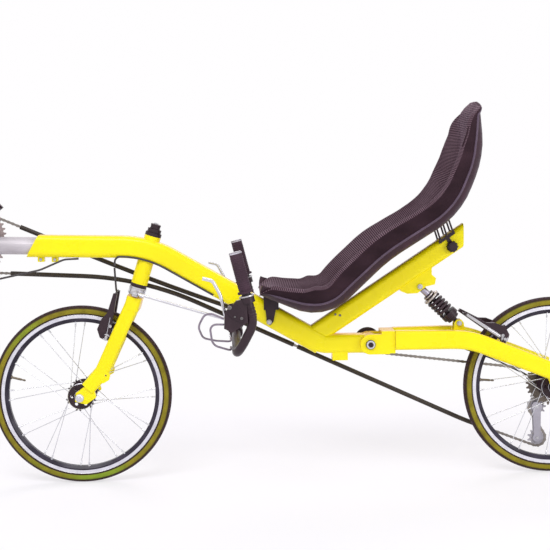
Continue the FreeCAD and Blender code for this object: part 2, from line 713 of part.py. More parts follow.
def seat_rear_stay():
    """On each side a strap on the mast with a hand knob, and thin rods up to the seat."""
    half = MAST_WIDTH / 2
    pieces = []
    for sign in (-1, 1):
        knob = sorted((sign * (half + GAP), sign * (half + 16)))
        strap = sorted((sign * (half + GAP), sign * (half + 4)))
        outline = []
        for x, z in ((-84, -26), (-44, 1), (-41, -6), (-55, -16), (-44, -38), (-54, -42), (-63, -21),
                     (-81, -33)):
            outline.append(MAST_HEAD + V(x, 0, z))
        pieces.append(across(MAST_HEAD + V(-49, 0, -40), 8.5, *knob))
        pieces.append(plate(outline, *strap))
        offset = SIDE * (sign * (half + 3))
        for foot_x, foot_z, lean in ((-79, -23, -18), (-63, -11, -18), (-47, -1, -20)):
            foot = MAST_HEAD + V(foot_x, 0, foot_z) + offset
            pieces.append(rod(foot, foot + V(lean, 0, 58), 2.4))
    return fused(pieces)


# ---------------------------------------------------------------- fork and steering
def bar_axis(height, back=0.0, side=0.0):
    """As on_axis, for the handlebar's pivot, which is parallel to the steering axis."""
    return on_axis(height, BAR_AXIS_GAP + back, side)


BAR_SPINDLE_R = 9.0
LEG_TOP = on_axis(CROWN_TOP - 16, 0, 37)
LEG_BEND = FRONT_HUB + V(56, 48, 61)
LEG_END = FRONT_HUB + V(20.5, 53.1, 23.4)
EYELET = FRONT_HUB + V(68, 0, 57)


def fork_crown():
    steerer = rod(on_axis(CROWN_TOP - 4), on_axis(HEAD_HIGH + 12), STEERER_R)
    half = 49.0
    corners = []
    for back, side in ((-19, -half), (19, -half), (19, half), (-19, half)):
        corners.append(on_axis(CROWN_TOP - CROWN_DEPTH, back, side))
    slab = Part.Face(Part.makePolygon(corners + corners[:1])).extrude(AXIS * CROWN_DEPTH)
    edges = [e for e in slab.Edges if abs(e.tangentAt(e.FirstParameter).dot(SIDE)) < 0.5 and e.Length < 40]
    slab = slab.makeFillet(9, [e for e in edges if abs(e.tangentAt(e.FirstParameter).dot(AXIS)) > 0.9])
    tyre_room = across(FRONT_HUB, TYRE_R + 12, -26, 26)
    return fused([slab.cut(tyre_room), steerer])


def fork_leg(crown):
    leg = box_tube([LEG_TOP, LEG_BEND, LEG_END], [90], 20, 37, 8)
    inner = FORK_SPAN / 2
    outline = []
    for x, z in ((-12, -9), (16, -17), (42, 1), (36, 31), (10, 27), (-9, 13)):
        outline.append(FRONT_HUB + V(x, 0, z))
    dropout = plate(outline, inner, inner + 8)
    lug_line = []
    for x, z in ((-22, -20), (-6, -20), (8, -12), (11, 0), (5, 9), (-10, 18)):
        lug_line.append(EYELET + V(x, 0, z))
    lug = plate(lug_line, 52, 58)
    eyelet = across(EYELET, 2.6, 30, 80)
    body = fused([leg, dropout, lug])
    body = body.cut(across(FRONT_HUB, AXLE_R + GAP / 3, 0, 100)).cut(eyelet)
    return body.cut(crown)


def steering_arm():
    low = LINK_PLANE - 8
    ring = rod(on_axis(low), on_axis(HEAD_LOW - 9 - GAP), 22)
    tip = rod(on_axis(low, 0, -LINK_ARM), on_axis(LINK_PLANE - 4.5, 0, -LINK_ARM), 8)
    corners = [on_axis(low, -9, -12), on_axis(low, 9, -12), on_axis(low, 7, -LINK_ARM),
               on_axis(low, -7, -LINK_ARM)]
    strap = Part.Face(Part.makePolygon(corners + corners[:1])).extrude(AXIS * 3.5)
    body = fused([ring, tip, strap])
    return body.cut(rod(on_axis(low - 5), on_axis(HEAD_LOW), STEERER_R + GAP / 3))


def headset_cap():
    lower = rod(on_axis(HEAD_HIGH + 9 + GAP), on_axis(HEAD_HIGH + 19), 17.5)
    upper = rod(on_axis(HEAD_HIGH + 19), on_axis(HEAD_HIGH + 31), 12.5)
    body = fused([lower, upper])
    return body.cut(rod(on_axis(HEAD_HIGH), on_axis(HEAD_HIGH + 12), STEERER_R + GAP / 3))


def drag_link():
    front = on_axis(LINK_PLANE, 0, -LINK_ARM)
    rear = bar_axis(LINK_PLANE, 0, -LINK_ARM)
    pieces = [rod(front, rear, 3.5)]
    for centre in (front, rear):
        pieces.append(rod(centre - AXIS * 4, centre + AXIS * 4, 8.5))
    return fused(pieces)


def handlebar(radius=BAR_R):
    left = [V(spot.x, -BAR_HALF, spot.z) for spot in (BAR_TOP, BAR_ELBOW, BAR_LOW)]
    left.append(BAR_MIDDLE - SIDE * BAR_CENTRE_HALF)
    right = [V(spot.x, -spot.y, spot.z) for spot in left[::-1]]
    return round_tube(left + right, [60, 42, 60, 60, 42, 60], radius)


def bar_stem():
    spindle = rod(bar_axis(LINK_PLANE - 32), bar_axis(LINK_PLANE + 38), BAR_SPINDLE_R)
    post = rod(bar_axis(LINK_PLANE - 35), bar_axis(LINK_PLANE - 14), 14)
    clamp = across(BAR_MIDDLE, 16, -22, 22)
    collar = rod(bar_axis(LINK_PLANE - 8), bar_axis(LINK_PLANE + 12 - GAP), 15)
    low = LINK_PLANE + 4.5
    corners = [bar_axis(low, -9, -10), bar_axis(low, 9, -10), bar_axis(low, 7, -LINK_ARM),
               bar_axis(low, -7, -LINK_ARM)]
    strap = Part.Face(Part.makePolygon(corners + corners[:1])).extrude(AXIS * 4)
    tip = rod(bar_axis(low, 0, -LINK_ARM), bar_axis(low + 4, 0, -LINK_ARM), 8)
    body = fused([spindle, post, clamp, collar, strap, tip])
    return body.cut(across(BAR_MIDDLE, BAR_R + GAP / 3, -30, 30))


def grip(side):
    along = (BAR_TOP - BAR_ELBOW).normalize()
    top = V(BAR_TOP.x, side * BAR_HALF, BAR_TOP.z)
    low = top - along * GRIP_LENGTH
    body = rod(low, top + along * 4, GRIP_R)
    flange = rod(low, low + along * 5, GRIP_R + 4)
    return fused([body, flange]).cut(rod(low - along, top + along * (GAP / 3), BAR_R + GAP / 3))


def brake_lever(side):
    """Clamp on the bar, a housing in front of it and a hooked lever blade."""
    y = side * BAR_HALF
    along = (BAR_TOP - BAR_ELBOW).normalize()
    top = V(BAR_TOP.x, y, BAR_TOP.z)
    ring_low = top - along * (GRIP_LENGTH + 24)
    ring = rod(ring_low, ring_low + along * 16, 16.5)
    outline = []
    for x, z in ((-17, 60), (-41, 55), (-69, 28), (-71, -10), (-52, -20), (-14, 4)):
        outline.append(BAR_ELBOW + V(x, 0, z))
    housing = plate(outline, y - 11, y + 11)
    blade_points = []
    for x, z in ((-66, 12), (-78, 68), (-96, 103), (-120, 109)):
        blade_points.append(BAR_ELBOW + V(x, y, z))
    blade = box_tube(blade_points, [60, 16], 11, 8, 3)
    body = fused([ring, housing, blade])
    return body.cut(handlebar(BAR_R + GAP / 3))


# ---------------------------------------------------------------- brakes
FRONT_BRAKE_Y = 30.0
REAR_BRAKE_Y = 46.0
PAD_GAP = 3.0
FRONT_BOSS = FRONT_HUB + V(0.416, 0, 0.909) * (RIM_SEAT_R - 35)
FRONT_BRAKE_TIP = FRONT_BOSS + V(26, 0, 113)
REAR_BOSS = REAR_HUB + V(-0.718, 0, 0.697) * (RIM_SEAT_R - 15)
REAR_BRAKE_TIP = REAR_BOSS + V(-98, 0, 65)


def brake_arm(hub, boss, tip, pad_angle, seat, low_y, side, bulge):
    """One arm of a linear-pull brake: stud towards its seat, arm, and pad beside the rim.

    The arm is wide at its foot and bulges towards the rim."""
    high_y = low_y + 12
    span = sorted((side * low_y, side * high_y))
    length = (tip - boss).Length
    along = (tip - boss).normalize()
    over = V(-along.z, 0, along.x)
    outline = []
    for distance, out in ((0, -9), (-9, 0), (-4, 16), (16, 27), (44, 21), (62, 10), (length - 2, 4.5),
                          (length, -4.5)):
        outline.append(boss + along * distance + over * (bulge * out))
    arm = plate(outline, *span)
    middle = SIDE * (side * (low_y + 6))
    pivot = rod(boss + middle - seat * 9, boss + middle + seat * 24, 8)
    angle = math.radians(pad_angle)
    radial = V(math.cos(angle), 0, math.sin(angle))
    tangent = V(-radial.z, 0, radial.x)
    pad = hub + radial * (RIM_SEAT_R - 3.5)
    pad_high = RIM_WIDTH / 2 + PAD_GAP + 11
    stub = across(pad, 5, *sorted((side * (pad_high - 1), side * (low_y + 2))))
    corners = [pad + tangent * 25 + radial * 4.5, pad - tangent * 25 + radial * 4.5,
               pad - tangent * 25 - radial * 4.5, pad + tangent * 25 - radial * 4.5]
    shoe = plate(corners, *sorted((side * (RIM_WIDTH / 2 + PAD_GAP), side * pad_high)))
    return fused([arm, pivot, stub, shoe])


# ---------------------------------------------------------------- drivetrain
def chain_circles():
    """The circles that the chain follows: centre, radius, and side it passes (+1 keeps it left)."""
    return [
        (BB, pitch_radius(RING_TEETH[1]), 1),
        (RETURN_BEND, RETURN_BEND_R, -1),
        (RETURN_SAG, RETURN_SAG_R, 1),
        (LOWER_JOCKEY, pitch_radius(JOCKEY_TEETH), 1),
        (UPPER_JOCKEY, pitch_radius(JOCKEY_TEETH), -1),
        (REAR_HUB, pitch_radius(COG_TEETH[DRIVE_COG]), 1),
        (PIVOT, pitch_radius(IDLER_TEETH), -1),
        (DRIVE_SAG, DRIVE_SAG_R, -1),
    ]


def tangent_points(first, second):
    """End points of the straight run from one circle to the next, both followed in their sense."""
    centre_a, radius_a, sense_a = first
    centre_b, radius_b, sense_b = second
    line = V(centre_b.x - centre_a.x, 0, centre_b.z - centre_a.z)
    distance = line.Length
    heading = math.atan2(line.z, line.x)
    lift = math.asin((sense_a * radius_a - sense_b * radius_b) / distance)
    normal = heading - math.pi / 2 + lift

    def touch(centre, radius, sense):
        return V(centre.x + sense * radius * math.cos(normal), 0,
                 centre.z + sense * radius * math.sin(normal))

    return touch(centre_a, radius_a, sense_a), touch(centre_b, radius_b, sense_b)


def chain_runs():
    circles = chain_circles()
    return [tangent_points(circles[i], circles[(i + 1) % len(circles)]) for i in range(len(circles))]


def wrap_arc(circle, start, end):
    centre, radius, sense = circle
    first = math.atan2(start.z - centre.z, start.x - centre.x)
    last = math.atan2(end.z - centre.z, end.x - centre.x)
    sweep = (last - first) % (2 * math.pi) if sense > 0 else -((first - last) % (2 * math.pi))
    middle = first + sweep / 2
    top = V(centre.x + radius * math.cos(middle), 0, centre.z + radius * math.sin(middle))
    return Part.Arc(start, top, end).toShape()


def chain_part(first, last):
    """Centre line from the start of run number first to the end of run number last."""
    circles = chain_circles()
    runs = chain_runs()
    edges = []
    for index in range(first, last + 1):
        start, end = runs[index % len(runs)]
        edges.append(Part.LineSegment(start, end).toShape())
        if index < last:
            following = runs[(index + 1) % len(runs)][0]
            edges.append(wrap_arc(circles[(index + 1) % len(circles)], end, following))
    return edges


def chain_band(edges):
    """Two rows of side plates along a centre line, with room for teeth between them."""
    rows = []
    for low in (CHAINLINE - CHAIN_SLOT / 2 - CHAIN_PLATE, CHAINLINE + CHAIN_SLOT / 2):
        path = Part.Wire(edges)
        begin = path.Edges[0].valueAt(path.Edges[0].FirstParameter)
        along = path.Edges[0].tangentAt(path.Edges[0].FirstParameter)
        over = SIDE.cross(along).normalize()
        middle = V(begin.x, low + CHAIN_PLATE / 2, begin.z)
        corners = []
        for a, b in ((-1, -1), (1, -1), (1, 1), (-1, 1)):
            corners.append(middle + over * (a * CHAIN_HALF) + SIDE * (b * CHAIN_PLATE / 2))
        shifted = path.copy()
        shifted.translate(V(0, low + CHAIN_PLATE / 2, 0))
        rows.append(swept(Part.Wire(shifted.Edges), Part.makePolygon(corners + corners[:1])))
    return Part.makeCompound(rows)


def chain_drive():
    return chain_band(chain_part(5, 7))


def chain_return():
    circles = chain_circles()
    runs = chain_runs()
    start_wrap = wrap_arc(circles[0], runs[7][1], runs[0][0])
    end_wrap = wrap_arc(circles[5], runs[4][1], runs[5][0])
    return chain_band([start_wrap] + chain_part(0, 4) + [end_wrap])


TUBE_FROM_IDLER = 122.0       # free lengths of chain before and after the guide tubes
TUBE_FROM_RING = 122.0
FRONT_TUBE_TAIL = 280.0


def guide_tube(edges):
    path = Part.Wire(edges)
    path.translate(V(0, CHAINLINE, 0))
    path = Part.Wire(path.Edges)
    begin = path.Edges[0].valueAt(path.Edges[0].FirstParameter)
    along = path.Edges[0].tangentAt(path.Edges[0].FirstParameter)
    solids = []
    for radius in (TUBE_R, TUBE_BORE):
        circle = Part.Wire(Part.Circle(begin, along, radius).toShape())
        solids.append(path.makePipeShell([circle], True, False))
    return solids[0].cut(solids[1])


def ahead(start, end, distance):
    """A point on the straight from start to end, at a distance from start."""
    return start + (end - start).normalize() * distance


def chain_tube_drive():
    """From behind the bottom bracket to just in front of the idler."""
    circles = chain_circles()
    (a, b), (c, d) = chain_runs()[6], chain_runs()[7]
    edges = [Part.LineSegment(ahead(a, b, TUBE_FROM_IDLER), b).toShape(), wrap_arc(circles[7], b, c),
             Part.LineSegment(c, ahead(d, c, TUBE_FROM_RING)).toShape()]
    return guide_tube(edges)


def chain_tube_front():
    circles = chain_circles()
    (a, b), (c, d) = chain_runs()[0], chain_runs()[1]
    return guide_tube([Part.LineSegment(ahead(a, b, TUBE_FROM_RING), b).toShape(),
                       wrap_arc(circles[1], b, c),
                       Part.LineSegment(c, ahead(c, d, FRONT_TUBE_TAIL)).toShape()])


def chain_tube_rear():
    start, end = chain_runs()[1]
    bend = wrap_arc(chain_circles()[2], end, chain_runs()[2][0])
    return guide_tube([Part.LineSegment(ahead(start, end, FRONT_TUBE_TAIL + 12), end).toShape(), bend])


def idler():
    disc = toothed(PIVOT, IDLER_TEETH, CHAINLINE - 1.1, CHAINLINE + 1.1, 12)
    boss = across(PIVOT, 14, CHAINLINE - 5, CHAINLINE + 5)
    core = fused([disc, boss])
    guard = across(PIVOT, IDLER_GUARD_R, CHAINLINE - 4.9, CHAINLINE - 3.9)
    return fused([core, guard]).cut(across(PIVOT, IDLER_PIN_R + GAP / 3, 0, 90))


def spider_directions():
    directions = []
    for arm in range(5):
        angle = math.radians(90 + 72 * arm)
        directions.append(V(math.cos(angle), 0, math.sin(angle)))
    return directions


def chainrings():
    """Two rings on either side of the spider's arms, and a small one on five spacers behind them."""
    rings = []
    for index, teeth in enumerate(RING_TEETH):
        y = CHAINLINE + (index - 1) * RING_STEP
        rings.append(toothed(BB, teeth, y - RING_HALF, y + RING_HALF, RING_INNER[index]))
    spacers = []
    for out in spider_directions():
        spacers.append(across(BB + out * 40, 5, CHAINLINE - RING_STEP, CHAINLINE + RING_HALF))
    return Part.makeCompound([fused(rings[:1] + spacers)] + rings[1:])


def crank_inner(side):
    return CHAINLINE + RING_STEP + 8 if side > 0 else LEFT_CRANK_Y


def crank_arm(side):
    """Right arm (side +1) points down and carries the spider; the left one points up."""
    inner = crank_inner(side)
    outer = inner + CRANK_THICK
    reach = V(0, 0, -CRANK * side)
    span = sorted((side * inner, side * outer))
    outline = [BB + V(16, 0, 0), BB + reach + V(12, 0, 0), BB + reach + V(-12, 0, 0), BB + V(-16, 0, 0)]
    pieces = [plate(outline, *span), across(BB, 18, *span), across(BB + reach, 13, *span)]
    pin_end = outer + PEDAL_GAP + PEDAL_WIDTH + 2
    pieces.append(across(BB + reach, PEDAL_PIN_R, *sorted((side * (inner + 2), side * pin_end))))
    if side > 0:
        low = CHAINLINE + RING_HALF + GAP
        high = CHAINLINE + RING_STEP - RING_HALF - GAP
        pieces.append(across(BB, 20, low, outer))
        for out in spider_directions():
            wide = V(-out.z, 0, out.x) * 9
            slim = V(-out.z, 0, out.x) * 7
            corners = [BB + out * 8 + wide, BB + out * 61 + slim, BB + out * 61 - slim, BB + out * 8 - wide]
            pieces.append(plate(corners, low, high))
    body = fused(pieces)
    return body.cut(across(BB, SPINDLE_R + GAP / 3, -90, 90))


def crank_spindle():
    return across(BB, SPINDLE_R, -73, CHAINLINE + RING_STEP + 21)


def pedal(side):
    centre = BB + V(0, 0, -CRANK * side)
    low = crank_inner(side) + CRANK_THICK + PEDAL_GAP
    high = low + PEDAL_WIDTH
    span = sorted((side * low, side * high))
    barrel = across(centre, 12, *span)
    half = PEDAL_LENGTH / 2
    plates = []
    for offset in (-half, half - 4):
        plates.append(block(V(centre.x + offset, span[0], centre.z - 11),
                            V(centre.x + offset + 4, span[1], centre.z + 11)))
    for y in (low, high - 6):
        ends = sorted((side * y, side * (y + 6)))
        plates.append(block(V(centre.x - half, ends[0], centre.z - 8),
                            V(centre.x + half, ends[1], centre.z + 8)))
    body = fused([barrel] + plates)
    return body.cut(across(centre, PEDAL_PIN_R + RUNNING, -200, 200))


def front_derailleur():
    post = BB + V(POST_BACK, 0, 82)
    clamp = pipe(post, post + V(0, 0, 14), 19, POST_R + GAP / 3)
    link = block(V(post.x - 8, 16, post.z - 2), V(post.x + 10, 46, post.z + 16))

    def cage(inner_r, outer_r, low, high):
        corners = []
        for radius, angles in ((inner_r, range(38, 79, 8)), (outer_r, range(78, 37, -8))):
            for angle in angles:
                turn = math.radians(angle)
                corners.append(V(BB.x + radius * math.cos(turn), 0, BB.z + radius * math.sin(turn)))
        return plate(corners, low, high)

    outer = cage(113, 131, CHAINLINE + 4.1, CHAINLINE + 5.3)
    inner = cage(97, 131, CHAINLINE - 6.2, CHAINLINE - 5)
    roof = cage(127, 131, CHAINLINE - 6, CHAINLINE + 5)
    tail = cage(122, 126, 30, CHAINLINE - 5)
    link = link.cut(rod(post - UP * 9, post + UP * 30, POST_R + GAP / 3))
    return fused([clamp, link, outer, inner, roof, tail])


def rear_derailleur():
    """Hanger under the dropout, body outside it, and a knuckle that reaches in to the cage."""
    bolt = V(REAR_HUB.x + 8, 0, REAR_HUB.z - 27)
    hanger_line = []
    for x, z in ((-3, -13.3), (11, -13.3), (18, -22), (18, -31), (9, -38), (-1, -31)):
        hanger_line.append(REAR_HUB + V(x, 0, z))
    hanger = plate(hanger_line, 67.5, 73.5)
    body = across(bolt, 11, 67.5, 90)
    link_line = [bolt + V(-6, 0, 9), bolt + V(11, 0, 4), UPPER_JOCKEY + V(11, 0, 4),
                 UPPER_JOCKEY + V(-4, 0, -10), UPPER_JOCKEY + V(-11, 0, 4)]
    link = plate(link_line, 75, 87)
    knuckle = across(UPPER_JOCKEY, 11.5, CHAINLINE + 6 + GAP, 87)
    return fused([hanger, body, link, knuckle]).cut(across(UPPER_JOCKEY, JOCKEY_PIN_R + GAP / 3, 0, 60))


def derailleur_cage():
    pieces = []
    for low, high in ((CHAINLINE - 6, CHAINLINE - 4.2), (CHAINLINE + 4.2, CHAINLINE + 6)):
        line = LOWER_JOCKEY - UPPER_JOCKEY
        over = V(-line.z, 0, line.x).normalize()
        outline = [UPPER_JOCKEY + over * 11, UPPER_JOCKEY - over * 11, LOWER_JOCKEY - over * 9,
                   LOWER_JOCKEY + over * 9]
        pieces.append(plate(outline, low, high))
        pieces.append(across(UPPER_JOCKEY, 14, low, high))
        pieces.append(across(LOWER_JOCKEY, 12, low, high))
    pieces.append(across(UPPER_JOCKEY, JOCKEY_PIN_R, CHAINLINE - 6, CHAINLINE + 8.7))
    pieces.append(across(LOWER_JOCKEY, JOCKEY_PIN_R, CHAINLINE - 6, CHAINLINE + 6))
    return fused(pieces)


def jockey_wheels():
    wheels = []
    for centre in (UPPER_JOCKEY, LOWER_JOCKEY):
        disc = toothed(centre, JOCKEY_TEETH, CHAINLINE - 1.1, CHAINLINE + 1.1, JOCKEY_PIN_R + GAP)
        boss = across(centre, 8, CHAINLINE - 3.9, CHAINLINE + 3.9)
        wheels.append(fused([disc, boss.cut(across(centre, JOCKEY_PIN_R + GAP, 0, 90))]))
    return Part.makeCompound(wheels)


# ---------------------------------------------------------------- cables
CORD_R = 2.5
WIRE_R = 1.2


def cord(name, points, radii):
    """A cable of straight runs and arcs; prints its bends and how its volume fits its length."""
    solid = round_tube(points, radii, CORD_R)
    length = rounded_path(points, radii).Length
    share = solid.Volume / (math.pi * CORD_R ** 2 * length)
    print(name, "bends", radii, "length", round(length), "volume share", round(share, 3))
    return solid


def brake_cable_on_fork():
    """From the right arm's tip across the tyre and up towards the beam, and the wire to the left arm."""
    reach = FRONT_BRAKE_Y - GAP
    tip = FRONT_BRAKE_TIP
    points = [tip + SIDE * reach, tip - SIDE * 14, tip + V(-2, -24, 63)]
    wire = rod(tip - SIDE * 6, tip - SIDE * reach, WIRE_R)
    return fused([cord("front brake cable", points, [16]), wire])


def cables_on_frame():
    """Brake cable along the beam's underside, cable to the front derailleur and cable to the rear one."""
    brake = [CROWN + V(-49, -24, 81), CROWN + V(-49, -24, 104), CROWN + V(28, -24, 101.6),
             CROWN + V(200, -24, 0.7)]
    front = [CROWN + V(-142, -14, 99.6), CROWN + V(-179, -16, 98.3), CROWN + V(-239, -28, 73.3),
             BB + V(POST_BACK, -30, -109), BB + V(POST_BACK, -30, 32), BB + V(POST_BACK, -21.8, 64),
             BB + V(POST_BACK, -21.8, 92)]
    rear = [PIVOT + V(82.5, 36, -19.7), PIVOT + V(232.5, 51, -18.7), REAR_HUB + V(-147, 62.5, 64),
            REAR_HUB + V(-60, 78, 21), REAR_HUB + V(-25, 81, 1), REAR_HUB + V(-19, 81, -41.2)]
    return Part.makeCompound([cord("cable under the beam", brake, [14, 235]),
                              cord("front derailleur cable", front, [40, 60, 28, 30, 30]),
                              cord("rear derailleur cable", rear, [150, 200, 100, 25])])


def cables_on_handlebar():
    """Two loops from the left lever round to the crossbar, both ends held by the handlebar."""
    start = BAR_ELBOW - SIDE * BAR_HALF
    beside = CORD_R + GAP + BAR_R

    low_end = BAR_LOW - SIDE * BAR_HALF
    rise = BAR_MIDDLE - SIDE * BAR_CENTRE_HALF - low_end

    def at_crossbar(y):
        return low_end + rise * ((y + BAR_HALF) / rise.y) - V(beside, 0, 0)

    high = [start + V(-71.3, 3, 12), start + V(-113, 9, 30), start + V(-134, 33, -10),
            start + V(-124, 65, -42), start + V(-94, 100, -54), at_crossbar(-118), at_crossbar(-80)]
    low = [start + V(-71.5, 5, -2), start + V(-106, 13, -2), start + V(-100, 33, -55),
           at_crossbar(-200), at_crossbar(-168)]
    return Part.makeCompound([cord("upper lever cable", high, [25, 40, 45, 60, 30]),
                              cord("lower lever cable", low, [18, 30, 18])])


# ---------------------------------------------------------------- assembly
def save_wheels():
    for name, hub, right in (("front", FRONT_HUB, FLANGE_Y), ("rear", REAR_HUB, DRIVE_FLANGE_Y)):
        save("tyre_" + name, tyre(hub))
        save("rim_" + name, rim(hub))
        save("spokes_" + name, spokes(hub, -FLANGE_Y, right))
    half_front = FORK_SPAN / 2 - 3.5 - GAP
    half_rear = REAR_SPAN / 2 - 3.5 - GAP
    save("hub_front", hub_shell(FRONT_HUB, -FLANGE_Y, FLANGE_Y, -half_front, half_front))
    save("hub_rear", hub_shell(REAR_HUB, -FLANGE_Y, DRIVE_FLANGE_Y, -half_rear, half_rear, FREEHUB_R))
    save("axle_front", axle(FRONT_HUB, FORK_SPAN, 8 + GAP))
    save("axle_rear", axle(REAR_HUB, REAR_SPAN, 7 + GAP))
    save("cassette", cassette())


def save_frame():
    beam = main_beam()
    mast = seat_mast(beam)
    leg = swing_arm_leg()
    save("main_beam", beam)
    save("seat_mast", mast)
    save("boom", boom())
    save("bottom_bracket", bottom_bracket())
    save("headset_cups", headset())
    save("swing_arm_yoke", swing_arm_yoke())
    save("swing_arm_right", leg)
    save("swing_arm_left", mirrored(leg))
    save("swing_arm_bridge", swing_arm_bridge(leg))
    save("pivot_axle", pivot_axle())
    save("shock_body", shock_body())
    save("shock_spring", shock_spring())
    save("seat_shell", seat_layer(0, SHELL))
    save("seat_cushion", seat_layer(SHELL + SEAT_GAP, SHELL + SEAT_GAP + PAD, 6))
    save("seat_front_bracket", seat_front_bracket().cut(beam))
    save("seat_rear_stay", seat_rear_stay().cut(mast).cut(below_shell()))
    return Part.makeCompound([leg, mirrored(leg)])


def save_steering():
    crown = fork_crown()
    leg = fork_leg(crown)
    save("fork_crown", crown)
    save("fork_leg_right", leg)
    save("fork_leg_left", mirrored(leg))
    save("steering_arm", steering_arm())
    save("headset_cap", headset_cap())
    save("drag_link", drag_link())
    save("handlebar", handlebar())
    save("bar_stem", bar_stem())
    for name, side in (("left", -1), ("right", 1)):
        save("grip_" + name, grip(side))
        save("brake_lever_" + name, brake_lever(side))
    return Part.makeCompound([leg, mirrored(leg)])


def save_brakes(fork_legs, arm_legs):
    front_seat = SIDE.cross(LEG_TOP - LEG_BEND).normalize()
    rear_seat = SIDE.cross(ARM_END - ARM_KNEE).normalize()
    front = []
    rear = []
    for side in (-1, 1):
        front.append(brake_arm(FRONT_HUB, FRONT_BOSS, FRONT_BRAKE_TIP, 66, front_seat, FRONT_BRAKE_Y,
                               side, 1))
        rear.append(brake_arm(REAR_HUB, REAR_BOSS, REAR_BRAKE_TIP, 135, rear_seat, REAR_BRAKE_Y, side, -1))
    save("front_brake", Part.makeCompound(front).cut(fork_legs))
    save("rear_brake", Part.makeCompound(rear).cut(arm_legs))


def save_drivetrain():
    save("crank_spindle", crank_spindle())
    save("crank_right", crank_arm(1))
    save("crank_left", crank_arm(-1))
    save("chainrings", chainrings())
    save("pedal_right", pedal(1))
    save("pedal_left", pedal(-1))
    save("front_derailleur", front_derailleur())
    save("rear_derailleur", rear_derailleur())
    save("derailleur_cage", derailleur_cage())
    save("jockey_wheels", jockey_wheels())
    save("idler", idler())
    save("chain_drive_run", chain_drive())
    save("chain_return_run", chain_return())
    save("chain_tubes", Part.makeCompound([chain_tube_drive(), chain_tube_front(), chain_tube_rear()]))


def save_cables():
    save("cable_brake_front", brake_cable_on_fork())
    save("cables_frame", cables_on_frame())
    save("cables_handlebar", cables_on_handlebar())


os.makedirs("parts", exist_ok=True)
save_wheels()
arm_legs = save_frame()
fork_legs = save_steering()
save_brakes(fork_legs, arm_legs)
save_drivetrain()
save_cables()
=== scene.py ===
"""Looks and added detail of the recumbent bicycle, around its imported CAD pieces."""
import math

import bmesh
import bpy
from mathutils import Matrix, Vector


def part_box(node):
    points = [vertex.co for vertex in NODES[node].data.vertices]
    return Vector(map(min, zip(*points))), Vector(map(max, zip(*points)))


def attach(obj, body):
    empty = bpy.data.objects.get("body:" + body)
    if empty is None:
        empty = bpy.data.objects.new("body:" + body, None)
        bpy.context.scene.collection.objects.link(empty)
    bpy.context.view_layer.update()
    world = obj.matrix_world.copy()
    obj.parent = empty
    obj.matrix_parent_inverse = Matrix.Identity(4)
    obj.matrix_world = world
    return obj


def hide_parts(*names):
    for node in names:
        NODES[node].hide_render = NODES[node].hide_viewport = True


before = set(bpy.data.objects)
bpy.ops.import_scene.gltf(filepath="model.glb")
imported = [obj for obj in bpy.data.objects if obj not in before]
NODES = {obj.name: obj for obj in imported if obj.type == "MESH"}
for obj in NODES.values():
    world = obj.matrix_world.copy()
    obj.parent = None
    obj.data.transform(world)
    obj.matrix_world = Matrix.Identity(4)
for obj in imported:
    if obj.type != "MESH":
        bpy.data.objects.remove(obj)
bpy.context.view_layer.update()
scene = bpy.context.scene
MM = 0.001
X = Vector((1, 0, 0))
SIDE = Vector((0, 1, 0))
UP = Vector((0, 0, 1))
TAU = 2 * math.pi
SQUARE = ((-1, -1), (1, -1), (1, 1), (-1, 1))
BOTH = (-1, 1)
LEFT_RIGHT = ((-1, "left"), (1, "right"))


def V(x, y, z):
    """A point or offset given in millimetres."""
    return Vector((x, y, z)) * MM


def ray(turn):
    """Direction in the middle plane, turned up from the rear by an angle in radians."""
    return Vector((math.cos(turn), 0, math.sin(turn)))


def turns(count):
    """Angles that share a full turn evenly."""
    return [TAU * i / count for i in range(count)]


def level(point):
    """The same point in the bicycle's middle plane."""
    return Vector((point.x, 0, point.z))


def middle_of(node):
    """Middle of a node's box, moved into the bicycle's middle plane."""
    low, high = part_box(node)
    return level((low + high) / 2)


def half_height(node):
    low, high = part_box(node)
    return (high.z - low.z) / 2


# ------------------------------------------------------------------ places taken from the frame
FRONT_HUB = middle_of("hub_front")
REAR_HUB = middle_of("hub_rear")
BB = middle_of("crank_spindle")
PIVOT = middle_of("pivot_axle")
TYRE_R = half_height("tyre_front")
TYRE_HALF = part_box("tyre_front")[1].y
RIM_TOP = half_height("rim_front")
RIM_LOW = RIM_TOP - 19.5 * MM
FLOOR = FRONT_HUB.z - TYRE_R - 0.6 * MM
TILT = math.radians(17.3)     # of the steering axis
AXIS = Vector((math.sin(TILT), 0, math.cos(TILT)))
BACK = Vector((math.cos(TILT), 0, -math.sin(TILT)))
FOOT = FRONT_HUB + BACK * (62 * MM)
CROWN = FOOT + AXIS * (285 * MM)
BEAM_FRONT = CROWN + V(-280, 0, 134.4)
MAST_HEAD = CROWN + V(866, 0, 154.8)
SHOCK_TOP = CROWN + V(735, 0, 11.8)
SHOCK_FOOT = CROWN + V(837, 0, -85.3)
BAR_TOP = CROWN + V(261, 0, 121.3)
BAR_ELBOW = CROWN + V(302, 0, -44.7)
BAR_MIDDLE = CROWN + V(258, 0, -98.7)
BAR_SIDE = 255.0              # of the grips from the middle plane, mm
CRANK_LENGTH = 170.0          # mm


def on_axis(height):
    """A place on the steering axis, in millimetres up from level with the hub."""
    return FOOT + AXIS * (height * MM)


# ------------------------------------------------------------------ camera and light
SENSOR, LENS = 36.0, 74.57                 # mm
CAMERA_PLACE = (-0.189, -2.937, 0.311)
YAW, DIP, ROLL = 0.0278, 0.0865, 0.0155    # radians
BACKDROP = (1.0, 0.99, 1.0, 1)
LIGHTING_GREY = (0.6, 0.6, 0.63, 1)        # what the backdrop gives off as light
FLOOR_REACH = 14.0
WHITE = (1, 1, 1)
